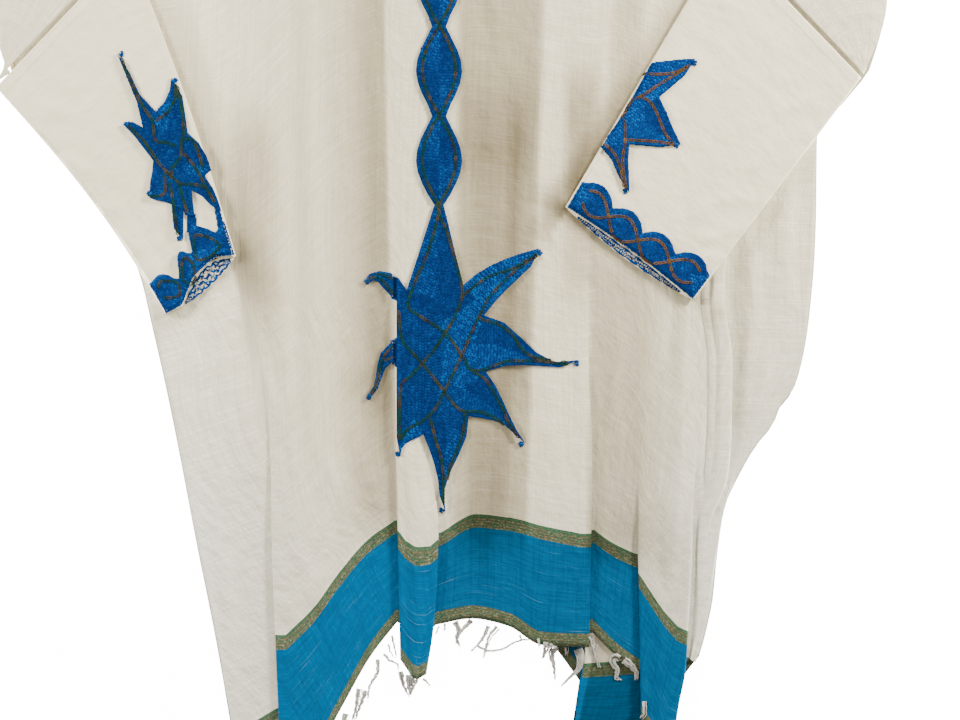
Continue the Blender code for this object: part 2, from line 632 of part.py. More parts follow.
def lower_plan(side, share, count):
    """Plan points across a lower sleeve at a share of its length from the seam to the cuff."""
    data = SLEEVES[side]
    inner = [mix(a, b, share) for a, b in zip(data["inner_seam"], data["inner_cuff"])]
    outer = [mix(a, b, share) for a, b in zip(data["outer_seam"], data["outer_cuff"])]
    if side == "left":
        outer[0] += LEFT_OUTER_BOW * math.sin(math.pi * share)
        inner[0] += LEFT_INNER_BOW * math.sin(math.pi * share)
    dx, dd = outer[0] - inner[0], outer[1] - inner[1]
    length = math.hypot(dx, dd) * (1 if side == "right" else -1)
    plan = []
    for k in range(count):
        q = k / (count - 1)
        bow = data["cuff_bow"] * math.sin(math.pi * q) * step(CUFF_BOW_START, 1, share)
        plan.append((inner[0] + dx * q - dd / length * bow, inner[1] + dd * q + dx / length * bow))
    return plan


def make_lower_sleeve(side, ground, collection):
    rings = []
    data = SLEEVES[side]
    for r in range(LOWER_RINGS + 1):
        share = r / LOWER_RINGS
        plan = lower_plan(side, mix(LOWER_START, 1, share), SLEEVE_COLUMNS)
        ring = sleeve_ring(plan, ground)
        ruffled = []
        for k, (x, drop, height) in enumerate(ring):
            top = SLEEVE_COLUMNS < k < 2 * SLEEVE_COLUMNS + 1
            if top:
                q = 1 - (k - SLEEVE_COLUMNS - 1) / (SLEEVE_COLUMNS - 1)
                wave = data["crumple"] * step(CRUMPLE_START, 1, share)
                height += max(0.0, wave * math.sin(CRUMPLE_WAVES * math.pi * q) + wave * CRUMPLE_LEVEL)
                if r == LOWER_RINGS:
                    pull = pulled_back(side, q)
                    toward = lower_plan(side, CUFF_BACK, 2)
                    x += (mix(toward[0][0], toward[1][0], q) - x) * pull
                    drop += (mix(toward[0][1], toward[1][1], q) - drop) * pull
            ruffled.append((x, drop, height))
        rings.append(ruffled)
    name = side + "_lower_sleeve"
    return thicken(add_object(name, sheet_mesh(name, rings, ring=True), "cotton", collection), WALL)


def make_upper_sleeve(side, ground, collection):
    """Gauze tube from the armhole to the seam. Its top layer turns down at the body's side edge."""
    rings = []
    armhole = SLEEVES[side]["armhole"]
    outward = 1 if side == "right" else -1
    for r in range(UPPER_RINGS + 1):
        share = r / UPPER_RINGS
        seam = lower_plan(side, UPPER_END, SLEEVE_COLUMNS)
        plan = []
        for k in range(SLEEVE_COLUMNS):
            q = k / (SLEEVE_COLUMNS - 1)
            start = along(armhole, q)
            start = (start[0] - outward * ARMHOLE_STEP[0], start[1] + ARMHOLE_STEP[1] * (1 - q))
            plan.append((mix(start[0], seam[k][0], share), mix(start[1], seam[k][1], share)))
        ring = sleeve_ring(plan, ground)
        if r == 0:
            ring = turn_down(ring, outward)
        rings.append(ring)
    name = side + "_upper_sleeve"
    return thicken(add_object(name, sheet_mesh(name, rings, ring=True), "gauze", collection), WALL)


def turn_down(ring, outward):
    """The armhole end: the top layer bends round the front's edge to the back's edge."""
    turned = []
    for k, (x, drop, height) in enumerate(ring):
        if k > SLEEVE_COLUMNS:
            q = min(k - SLEEVE_COLUMNS, 2 * SLEEVE_COLUMNS + 1 - k) / TURN_COLUMNS
            x += outward * TURN_OUT * min(q, 1)
            height -= TURN_FALL * min(q, 1)
        turned.append((x, drop, height))
    return turned


def patch(name, outline, ground, spacing, collection):
    """A raised piece of embroidery: an outline filled with triangles, laid on the cloth below."""
    area = [Vector(p) for p in outline]
    xs = [p[0] for p in outline]
    ds = [p[1] for p in outline]
    inner = []
    for x in np.arange(min(xs) + spacing / 2, max(xs), spacing):
        for d in np.arange(min(ds) + spacing / 2, max(ds), spacing):
            if inside((x, d), outline) and nearest((x, d), outline) > spacing * EDGE_CLEAR:
                inner.append(Vector((x, d)))
    edges = [(i, (i + 1) % len(area)) for i in range(len(area))]
    verts, _, faces, _, _, _ = delaunay_2d_cdt(area + inner, edges, [], 1, 1e-5)
    mesh = bpy.data.meshes.new(name)
    build = bmesh.new()
    made = [build.verts.new(place(v.x, v.y, ground.height(v.x, v.y) + EMBROIDERY_GAP)) for v in verts]
    for face in faces:
        build.faces.new([made[i] for i in face])
    bmesh.ops.recalc_face_normals(build, faces=build.faces)
    if sum(face.normal.z for face in build.faces) < 0:
        bmesh.ops.reverse_faces(build, faces=build.faces)
    solid = bmesh.ops.extrude_face_region(build, geom=list(build.faces))
    raised = [item for item in solid["geom"] if isinstance(item, bmesh.types.BMVert)]
    bmesh.ops.translate(build, verts=raised, vec=(0, 0, EMBROIDERY_THICK * MM))
    bmesh.ops.recalc_face_normals(build, faces=build.faces)
    build.to_mesh(mesh)
    build.free()
    return add_object(name, mesh, "blue", collection)


def inside(point, outline):
    x, d = point
    crossed = False
    for (ax, ad), (bx, bd) in zip(outline, outline[1:] + outline[:1]):
        if (ad > d) != (bd > d) and x < ax + (d - ad) / (bd - ad) * (bx - ax):
            crossed = not crossed
    return crossed


def nearest(point, outline):
    best = 1e9
    for a, b in zip(outline, outline[1:] + outline[:1]):
        run = (b[0] - a[0], b[1] - a[1])
        length = max(run[0] ** 2 + run[1] ** 2, 1e-9)
        t = min(max(((point[0] - a[0]) * run[0] + (point[1] - a[1]) * run[1]) / length, 0), 1)
        best = min(best, math.hypot(point[0] - a[0] - run[0] * t, point[1] - a[1] - run[1] * t))
    return best


def polar(centre, angle, reach):
    """Plan place at an angle above the horizontal and a distance from a centre."""
    turn = math.radians(angle)
    return centre[0] + math.cos(turn) * reach, centre[1] - math.sin(turn) * reach


def bent(start, end, bulges, count):
    """Points after start up to end, bulging to the left of the run near its start and its end."""
    dx, dd = end[0] - start[0], end[1] - start[1]
    points = []
    for k in range(1, count + 1):
        t = k / count
        away = 3 * t * (1 - t) * (bulges[0] * (1 - t) + bulges[1] * t)
        points.append((start[0] + dx * t + dd * away, start[1] + dd * t - dx * away))
    return points


def ray_edges(before, tip, after, ray, count):
    """Edge points of one ray after its first root: out to a narrow tip and back to the next root."""
    middle = ((before[0] + after[0]) / 2, (before[1] + after[1]) / 2)
    length = math.dist(middle, tip)
    nx = -(tip[1] - middle[1]) / length * RAY_TIP_HALF_WIDTH
    nd = (tip[0] - middle[0]) / length * RAY_TIP_HALF_WIDTH
    out = bent(before, (tip[0] - nx, tip[1] - nd), ray["out"], count)
    return out + bent((tip[0] + nx, tip[1] + nd), after, ray["back"], count)


def front_outline():
    """Outline of the column of pointed ovals and the star, clockwise from the neck."""
    head = COLUMN_FOOT - LENS_LENGTH * LENS_COUNT + COLUMN_HEAD
    right = []
    drop = head
    while drop < COLUMN_FOOT - 0.1:
        phase = (COLUMN_FOOT - drop) / LENS_LENGTH
        wide = abs(math.sin(math.pi * phase)) ** COLUMN_POWER
        right.append((mix(WAIST_HALF_WIDTH, LENS_HALF_WIDTH, wide), drop))
        drop += LENS_LENGTH / 8
    outline = [(COLUMN_X + half, drop) for half, drop in right]
    foot_half = WAIST_HALF_WIDTH * COLUMN_FOOT_SHARE
    last = (COLUMN_X + foot_half, COLUMN_FOOT)
    outline.append(last)
    for i, ray in enumerate(STAR_RAYS):
        root = polar(STAR_CENTRE, ray["root"], ray["depth"])
        if i == 0:
            outline += bent(last, root, ray["out"], 4)
        else:
            tip = polar(STAR_CENTRE, ray["tip"], ray["reach"])
            outline += ray_edges(last, tip, root, ray, 5)
        last = root
    while outline[-1][1] < STAR_LEFT_CUT:
        outline.pop()
    outline += STAR_LEFT_SIDE
    outline += bent(STAR_LEFT_SIDE[-1], (COLUMN_X - foot_half, COLUMN_FOOT), (0.0, 0.0), 4)
    outline += [(COLUMN_X - half, drop) for half, drop in reversed(right)]
    return [(max(x, STAR_LEFT_LIMIT), d) for x, d in outline]


def ray_outline(path):
    """A single bent ray through places with half widths, cut upright at its root."""
    left, right = [], []
    for k, (x, drop, half) in enumerate(path):
        before, after = path[max(k - 1, 0)], path[min(k + 1, len(path) - 1)]
        length = math.dist(before[:2], after[:2])
        nx, nd = -(after[1] - before[1]) / length, (after[0] - before[0]) / length
        if k == 0:
            nx, nd = 0.0, -1.0
        left.append((x + nx * half, drop + nd * half))
        right.append((x - nx * half, drop - nd * half))
    return left + list(reversed(right))


def star_outline(data):
    """A star of tips and roots, closed along its sleeve's fold line if it has an edge there."""
    outline = [data["start"]]
    before = data["start"]
    for ray in data["rays"]:
        outline += ray_edges(before, ray["tip"], ray["root"], ray, 3)
        before = ray["root"]
    if math.dist(outline[-1], outline[0]) < 0.01:
        outline.pop()
    return outline + data["edge"]


def pulled_back(side, q):
    """Share of the way to the ring before that a cuff's top layer is drawn back, across the cuff."""
    data = SLEEVES[side]
    return data["pull"] * math.sin(math.pi * min(q / data["pull_end"], 1.0))


def cuff_place(side, q, reach):
    """Plan place on a cuff's top layer: across it from its inner edge, and cm up from its end."""
    inset = mix(CUFF_SIDE_INSET, 1 - CUFF_SIDE_INSET, q)
    at = along(lower_plan(side, 1, CUFF_POINTS), inset)
    up = along(lower_plan(side, CUFF_BACK, CUFF_POINTS), inset)
    length = math.dist(at, up)
    return at[0] + (up[0] - at[0]) / length * reach, at[1] + (up[1] - at[1]) / length * reach


def cuff_outline(side):
    """Scalloped border along a cuff, from the drawn back end of its top layer to its profile."""
    low, high = [], []
    last_part = math.dist(lower_plan(side, 1, 3)[1], lower_plan(side, CUFF_BACK, 3)[1])
    for k in range(CUFF_POINTS):
        q = k / (CUFF_POINTS - 1)
        back = pulled_back(side, mix(CUFF_SIDE_INSET, 1 - CUFF_SIDE_INSET, q)) * last_part
        low.append(cuff_place(side, q, back + CUFF_EDGE_INSET))
        high.append(cuff_place(side, q, eased(CUFF_PROFILES[side], q)))
    return low + list(reversed(high))


def make_fringe(data, line, ground, collection, seed):
    """Locks of warp ends whose roots are fused into a three-sided strip just off the hem."""
    stations = 2 * data["locks"] + 1
    points = [along3(line, k / (stations - 1)) for k in range(stations)]
    build = bmesh.new()
    backs, tops, lows = [], [], []
    outs = []
    for k, (x, drop, height) in enumerate(points):
        a = points[max(k - 1, 0)]
        b = points[min(k + 1, stations - 1)]
        run = (b[0] - a[0], b[1] - a[1])
        length = math.hypot(*run)
        out = (-run[1] / length, run[0] / length)
        outs.append(out)
        far = STRIP_GAP + STRIP_WIDTH
        backs.append(build.verts.new(place(x + out[0] * STRIP_GAP, drop + out[1] * STRIP_GAP, height)))
        tops.append(build.verts.new(place(x + out[0] * far, drop + out[1] * far, height + STRIP_HALF_HEIGHT)))
        lows.append(build.verts.new(place(x + out[0] * far, drop + out[1] * far, height - STRIP_HALF_HEIGHT)))
    fronts = []
    for k in range(stations - 1):
        build.faces.new((backs[k], tops[k], tops[k + 1], backs[k + 1]))
        build.faces.new((backs[k], backs[k + 1], lows[k + 1], lows[k]))
        fronts.append(build.faces.new((tops[k], lows[k], lows[k + 1], tops[k + 1])))
    build.faces.new((backs[0], lows[0], tops[0]))
    build.faces.new((backs[-1], tops[-1], lows[-1]))
    dice = np.random.default_rng(seed)
    for k in range(1, stations - 1, 2):
        length = data["longest"] * dice.uniform(SHORTEST_SHARE, 1)
        grow_lock(build, fronts[k], points[k], points[k + 1], outs[k], ground, length)
    bmesh.ops.recalc_face_normals(build, faces=build.faces)
    mesh = bpy.data.meshes.new(data["name"])
    build.to_mesh(mesh)
    build.free()
    return add_object(data["name"], mesh, "fringe", collection)


def along3(points, share):
    at = share * (len(points) - 1)
    return tuple(eased([(i, p[axis]) for i, p in enumerate(points)], at) for axis in range(3))


def grow_lock(build, face, start, end, out, ground, length):
    """Pulls one face of the strip out into a tapering lock that comes down to what lies below."""
    drift = LOCK_DRIFT * math.sin(length * LOCK_DRIFT_TURNS)
    x = (start[0] + end[0]) / 2
    drop = (start[1] + end[1]) / 2
    height = (start[2] + end[2]) / 2
    half = math.dist(start[:2], end[:2]) / 2
    turn = (out[0] - out[1] * drift, out[1] + out[0] * drift)
    hem_run = ((end[0] - start[0]) / half / 2, (end[1] - start[1]) / half / 2)
    corners = {}
    for vert in face.verts:
        near_start = (vert.co - place(*start)).length < (vert.co - place(*end)).length
        above = vert.co.z > place(*start).z if near_start else vert.co.z > place(*end).z
        corners[tuple(vert.co)] = (-1 if near_start else 1, 1 if above else -1)
    for s in range(1, LOCK_SECTIONS + 1):
        t = s / LOCK_SECTIONS
        face = bmesh.ops.extrude_discrete_faces(build, faces=[face])["faces"][0]
        far = STRIP_WIDTH + length * t
        cx, cd = x + turn[0] * far, drop + turn[1] * far
        rest = ground.height(cx, cd) + LOCK_REST
        level = mix(height, rest, step(0, LOCK_FALL_END, t)) if height > rest else rest
        wide = mix(half * LOCK_ROOT_SHARE, LOCK_TIP_HALF_WIDTH, t)
        thick = mix(STRIP_HALF_HEIGHT, LOCK_TIP_HALF_HEIGHT, t)
        moved = {}
        for vert in face.verts:
            side, above = corners[tuple(vert.co)]
            vert.co = place(cx + hem_run[0] * wide * side, cd + hem_run[1] * wide * side, level + thick * above)
            moved[tuple(vert.co)] = (side, above)
        corners = moved


def main():
    clear_scene()
    collection = bpy.data.collections.new(NAME)
    bpy.context.scene.collection.children.link(collection)
    back = make_back(collection)
    front, front_thing = make_front(collection)
    make_binding(collection)
    over_front = Ground([front_thing], FRONT_SPREAD)
    sleeve_ground = Ground([front_thing], SLEEVE_SPREAD, floor=WALL)
    sleeves = {}
    for side in ("right", "left"):
        make_upper_sleeve(side, sleeve_ground, collection)
        sleeves[side] = make_lower_sleeve(side, sleeve_ground, collection)
    patch("front_embroidery", front_outline(), over_front, FRONT_SPACING, collection)
    for name, path in SIDE_RAYS.items():
        patch(name, ray_outline(path), over_front, FRONT_SPACING, collection)
    for side, star in (("right", RIGHT_STAR), ("left", LEFT_STAR)):
        on_sleeve = Ground([sleeves[side]], CUFF_SPREAD)
        patch(side + "_sleeve_star", star_outline(star), on_sleeve, SLEEVE_SPACING, collection)
        patch(side + "_cuff_border", cuff_outline(side), on_sleeve, SLEEVE_SPACING, collection)
    under_fringe = Ground([back, front_thing], FRINGE_SPREAD)
    for seed, data in enumerate(FRINGES):
        line = front.hem_line(data["panel"], data["span"], HEM_POINTS)
        make_fringe(data, line, under_fringe, collection, seed)
    back_line = [(x, drop, WALL / 2 + LOCK_TIP_HALF_HEIGHT) for x, drop in BACK_HEM[BACK_FRINGE["from_point"]:]]
    make_fringe(BACK_FRINGE, back_line, Ground([], FRINGE_SPREAD), collection, len(FRINGES))


main()
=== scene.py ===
"""Looks of a habesha kemis laid flat, front up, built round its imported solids.

Plan places are in centimetres, x from the centre front and drop down from the neck
point, and heights in millimetres above the floor, as in the part's own source.
"""
import math
import bmesh
import bpy
import numpy as np
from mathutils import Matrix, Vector
from mathutils.bvhtree import BVHTree


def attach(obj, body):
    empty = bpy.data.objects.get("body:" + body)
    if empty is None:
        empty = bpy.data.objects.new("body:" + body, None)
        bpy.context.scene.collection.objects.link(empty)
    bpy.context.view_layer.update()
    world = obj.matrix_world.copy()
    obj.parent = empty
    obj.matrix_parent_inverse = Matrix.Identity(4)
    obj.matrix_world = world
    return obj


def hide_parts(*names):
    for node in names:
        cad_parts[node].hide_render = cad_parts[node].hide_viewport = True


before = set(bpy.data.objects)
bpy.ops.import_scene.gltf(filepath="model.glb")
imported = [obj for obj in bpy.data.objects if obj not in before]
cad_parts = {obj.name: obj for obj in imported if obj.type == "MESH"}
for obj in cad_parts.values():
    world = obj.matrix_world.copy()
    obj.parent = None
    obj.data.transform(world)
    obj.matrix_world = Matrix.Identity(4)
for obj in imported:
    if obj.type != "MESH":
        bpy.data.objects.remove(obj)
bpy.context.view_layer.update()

CM = 0.01
MM = 0.001

# Sizes shared with the part's source
NECK_TO_ORIGIN = 73.43
WALL = 1.2
NECK_HALF_WIDTH = 10.9
FRONT_NECK_DEPTH = 11.5
BACK_NECK_DEPTH = 2.6
SHOULDER_SLOPE = 0.577
ARMHOLE_END = 54.0
ARMHOLE_INSET = 0.8
BACK_LIP = 0.15
LEVEL_START = 46.1
LEVEL_END = 97.0
SEAM_HEIGHT = WALL + 0.3 + WALL / 2
LOW_LAYER = 3.4
OPEN_RISE = 1.6
PLEAT_BULGE = 3.0
BORDER_DEPTH = 12.4
TRIM_DEPTH = 1.55
TRIM_RIB = 0.31
SLEEVE_CLEARANCE = 0.4
SLEEVE_LOFT = 3.6
SLEEVE_COLUMNS = 12

# Fineness of the meshes made here
COLUMN_SPLIT = 4
FOLD_SPLIT = 4
ROW_SPLIT = 6
SHELL = 0.8

LEFT_SEAM = [(19.2, -44.2), (32.3, -48.5), (46.1, -51.4), (51.3, -50.3), (54.0, -49.3), (57.0, -47.8),
             (61.1, -45.2), (65.9, -41.2), (70.5, -38.0), (74.6, -35.6), (78.3, -34.2), (83.0, -33.1),
             (90.0, -31.5), (96.8, -30.1), (108.3, -27.9), (119.8, -25.6), (128.9, -24.0), (143.9, -21.5)]
RIGHT_SEAM = [(19.2, 44.2), (32.3, 48.5), (46.1, 51.4), (51.3, 50.3), (54.0, 49.3), (57.5, 46.6),
              (61.9, 43.2), (70.5, 43.1), (75.8, 42.9), (83.4, 42.2), (87.5, 41.5), (91.3, 40.3),
              (92.8, 39.0), (95.0, 38.1), (96.7, 36.7), (98.6, 35.4), (101.4, 33.9), (103.5, 32.9),
              (105.8, 32.3), (110.1, 31.7), (115.1, 31.2), (117.6, 30.7), (120.4, 30.0), (122.2, 29.4)]
FOLD_LINES = {
    "swoop": [(46.1, -29.0), (74.9, -22.9), (86.3, -20.9), (96.7, -19.8), (115.3, -19.0), (137.0, -18.1)],
    "pleat_left": [(46.1, -6.6), (74.9, -5.4), (86.3, -5.2), (107.7, -4.8), (122.8, -4.5)],
    "pleat_right": [(46.1, -1.6), (74.9, -1.2), (96.7, -0.3), (108.0, -0.2), (117.6, -0.7), (123.7, -1.6)],
    "centre_edge": [(46.1, 19.1), (74.9, 16.9), (96.7, 17.4), (107.4, 17.3), (120.4, 17.1)],
    "right_lap": [(46.1, 30.5), (74.9, 24.6), (96.7, 22.4), (112.0, 22.8), (128.7, 23.1)],
    "right_edge": [(46.1, 38.0), (74.9, 29.6), (85.2, 30.0), (97.6, 29.7), (106.1, 29.0), (111.9, 28.8),
                   (118.7, 28.4), (123.4, 28.1), (126.9, 27.4), (135.2, 26.2)],
    "side_turn": [(46.1, 48.0), (56.0, 45.0), (62.2, 40.4), (67.9, 36.6), (73.5, 33.2), (80.2, 32.6),
                  (87.5, 33.5), (95.9, 33.4), (101.4, 32.9), (103.5, 32.2), (105.8, 31.3), (110.1, 30.6),
                  (115.1, 30.2), (120.4, 29.3), (122.0, 28.9)],
}
FOLDS = [
    {"name": "swoop", "side": 1, "starts": 88, "full": 112, "depth": 3.2, "rise": 6.0, "lead": 1.2},
    {"name": "pleat_left", "side": 1, "starts": 76, "full": 88, "depth": 1.2, "rise": 6.6, "lead": 0.9},
    {"name": "pleat_right", "side": -1, "starts": 101, "full": 107, "depth": 1.0, "rise": 6.6, "lead": 0.9},
    {"name": "centre_edge", "side": -1, "starts": 80, "full": 98, "depth": 2.2, "rise": 6.0, "lead": 1.2},
    {"name": "right_lap", "side": 1, "starts": 99, "full": 110, "depth": 1.9, "rise": 6.0, "lead": 1.2},
    {"name": "right_edge", "side": -1, "starts": 92, "full": 110, "depth": 1.9, "rise": 6.0, "lead": 1.2},
    {"name": "side_turn", "side": -1, "starts": 57, "full": 69, "opens": 100, "open": 109,
     "depth": 2.6, "rise": 6.0, "lead": 1.2, "lead_at_hem": 0.2},
]
PANELS = [
    {"name": "left_under", "columns": 5, "border": [130.6, 127.6], "hem": [143.9, 141.6]},
    {"name": "swoop", "columns": 9, "border": [119.0, 116.0, 111.8, 108.2, 105.9],
     "hem": [137.0, 132.4, 127.0, 121.6, 117.6]},
    {"name": "pleat", "columns": 3, "border": [108.2, 108.9, 108.8], "hem": [123.2, 123.9, 124.1],
     "trim": 2.2},
    {"name": "centre", "columns": 10, "border": [107.3, 105.2, 105.6, 106.6, 107.4],
     "hem": [117.9, 117.2, 118.0, 120.2, 120.4]},
    {"name": "mid", "columns": 2, "border": [107.0, 108.6, 109.7], "hem": [118.8, 121.3, 123.2]},
    {"name": "right", "columns": 3, "border": [113.9, 116.3, 118.0], "hem": [130.4, 132.8, 134.6]},
    {"name": "side", "columns": 1, "border": [121.7, 121.7], "hem": [121.8, 121.9]},
    {"name": "seam_part", "columns": 4, "border": [122.0, 122.1], "hem": [122.1, 122.2]},
]
# Drops of the border's top and of the hem right at a fold's edge, where their lines bend there
FOLD_EDGES = {"pleat_left": (107.0, 121.8), "pleat_right": (108.0, 123.5), "right_lap": (111.9, 128.7),
              "right_edge": (118.6, 135.2)}
# Share of the way to that edge, and then on to the low layer, at each point of a fold
TO_EDGE = [(0, 0.0), (1, 0.7), (2, 1.0)]
PAST_EDGE = [(2, 0.0), (3, 0.25), (4, 0.5), (5, 0.6), (6, 0.8), (7, 1.0)]
RIDGES = [
    {"from": 44, "to": 104, "x": (-35.0, -27.0, -22.5), "height": 2.6, "half": 1.3},
    {"from": 70, "to": 112, "x": (-24.0, -17.6, -16.3), "height": 2.2, "half": 1.0},
    {"from": 50, "to": 100, "x": (-16.0, -14.0, -12.6), "height": 1.6, "half": 1.5},
    {"from": 30, "to": 104, "x": (1.0, 8.0, 8.4), "height": -1.4, "half": 0.9},
    {"from": 30, "to": 106, "x": (13.0, 11.5, 12.0), "height": 1.6, "half": 1.4},
    {"from": 74, "to": 112, "x": (30.5, 26.6, 24.9), "height": 2.0, "half": 0.9},
    {"from": 62, "to": 98, "x": (40.5, 38.6, 35.2), "height": 3.0, "half": 1.2},
]
FOLD_SECTION = [(-1.0, 0.0, 1.0), (-0.3, 0.0, 0.97), (0.0, 0.0, 0.76), (-0.25, 0.0, 0.54),
                (0.22, -1.0, 0.46), (0.0, -1.0, 0.24), (0.22, -1.0, 0.03), (0.35, 0.0, 0.0)]
BACK_HEM = [(-22.4, 138.0), (-17.0, 136.0), (-11.0, 125.0), (-5.0, 115.0), (3.0, 112.5), (10.0, 116.5),
            (13.8, 121.3), (16.2, 124.6), (15.3, 128.9), (14.5, 135.5), (20.0, 136.4), (25.4, 135.8)]
BACK_RIGHT_FOOT = [(26.2, 132.0), (26.8, 128.0), (28.0, 123.6)]
# Line of the back's inner fold, and where the border starts at that fold and at the seam
BACK_SPLIT = [(0.0, 8.0), (60.0, 14.0), (118.0, 17.0), (122.5, 16.6),
              (124.6, 16.2), (128.9, 15.3), (135.5, 14.5)]
BACK_BORDER = (122.4, 121.2)
BACK_ROWS = 90
BACK_COLUMNS = (90, 40)
BACK_TONE = 0.86
SLEEVES = {
    "right": {
        "armhole": [(44.0, 19.4), (47.4, 26.5), (49.9, 35.5), (51.3, 46.1), (50.4, 50.6), (49.3, 54.0)],
        "inner_seam": (33.0, 38.6), "outer_seam": (48.5, 54.8),
        "inner_cuff": (14.4, 70.0), "outer_cuff": (29.0, 80.7), "cuff_bow": 0.7, "crumple": 0.0,
        "pull": 0.28, "pull_end": 1.0,
    },
    "left": {
        "armhole": [(-44.0, 19.4), (-47.4, 26.5), (-49.9, 35.5), (-51.3, 46.1), (-50.9, 50.6), (-49.9, 54.6)],
        "inner_seam": (-35.9, 39.9), "outer_seam": (-51.2, 55.9),
        "inner_cuff": (-23.4, 75.6), "outer_cuff": (-31.4, 82.3), "cuff_bow": 0.8, "crumple": 2.2,
        "pull": 0.6, "pull_end": 0.8,
    },
}
LEFT_OUTER_BOW = 1.3
LEFT_INNER_BOW = 0.6

# Creases added to the front here: start and end in plan, height in mm, half width in cm
FRONT_CREASES = [
    ((-8.0, 46.0), (-6.9, 76.0), 1.2, 0.7), ((-12.0, 46.0), (-11.0, 70.0), 0.9, 1.1),
    ((-18.5, 60.0), (-16.6, 96.0), 1.1, 0.9), ((-21.0, 50.0), (-19.0, 72.0), 1.0, 1.2),
    ((-24.6, 78.0), (-20.2, 104.0), 1.3, 0.6), ((-22.4, 80.0), (-16.4, 102.0), 1.0, 0.6),
    ((-18.3, 84.0), (-16.3, 97.0), 0.9, 0.5), ((-27.8, 84.0), (-23.6, 112.0), 1.2, 0.9),
    ((-29.6, 96.0), (-25.4, 128.0), 1.0, 1.0), ((-26.4, 100.0), (-22.6, 134.0), 1.0, 0.8),
    ((-14.0, 96.0), (-9.8, 110.0), 1.2, 0.9), ((-10.6, 92.0), (-6.9, 106.0), 1.1, 0.7),
    ((-17.2, 104.0), (-13.4, 118.0), 1.2, 0.8), ((-15.6, 120.0), (-12.8, 131.0), 1.0, 0.8),
    ((-9.6, 112.0), (-7.8, 124.0), 0.9, 0.7), ((-12.6, 114.0), (-10.6, 127.0), -0.7, 0.6),
    ((3.4, 46.0), (3.0, 66.0), 0.8, 0.7), ((6.4, 42.0), (5.9, 74.0), 1.0, 0.8),
    ((12.6, 46.0), (10.4, 74.0), 1.5, 0.9), ((9.9, 76.0), (8.4, 106.0), -1.3, 0.6),
    ((6.6, 96.0), (6.0, 116.0), 0.9, 0.8), ((12.4, 84.0), (13.8, 104.0), 0.9, 0.9),
    ((15.0, 60.0), (14.6, 84.0), 1.1, 1.0), ((4.2, 106.0), (4.0, 117.0), -0.7, 0.5),
    ((11.4, 107.0), (11.8, 119.0), 0.8, 0.8), ((15.0, 106.0), (15.4, 119.0), -0.8, 0.6),
    ((22.3, 81.4), (17.4, 100.8), 1.8, 0.7), ((19.6, 78.0), (20.6, 100.0), 0.9, 0.8),
    ((27.8, 82.0), (24.2, 101.6), 1.3, 0.7), ((31.0, 84.0), (29.3, 104.0), 0.9, 0.6),
    ((20.0, 101.0), (20.2, 118.0), -0.8, 0.7), ((25.4, 100.0), (26.4, 114.0), 1.0, 0.7),
    ((24.6, 112.0), (25.6, 130.0), 0.9, 0.6), ((36.2, 74.0), (35.4, 92.0), 1.6, 0.7),
    ((40.6, 66.0), (39.4, 88.0), 1.4, 0.9), ((34.2, 76.0), (34.0, 92.0), -1.4, 0.6),
    ((38.0, 88.0), (35.0, 97.0), 1.1, 0.6), ((-3.6, 96.0), (-3.4, 107.0), 0.8, 0.6),
    ((-38.0, 24.0), (-31.0, 44.0), 1.4, 1.4), ((30.0, 22.0), (26.0, 46.0), 1.4, 1.4),
    ((-16.0, 14.0), (-17.0, 40.0), 1.2, 1.3), ((14.6, 12.0), (14.0, 40.0), 1.2, 1.3),
    ((-24.0, 18.0), (-25.6, 40.0), 1.3, 1.2), ((21.0, 16.0), (21.6, 44.0), 1.0, 1.2),
]
CREASE_SCALE = 1.5
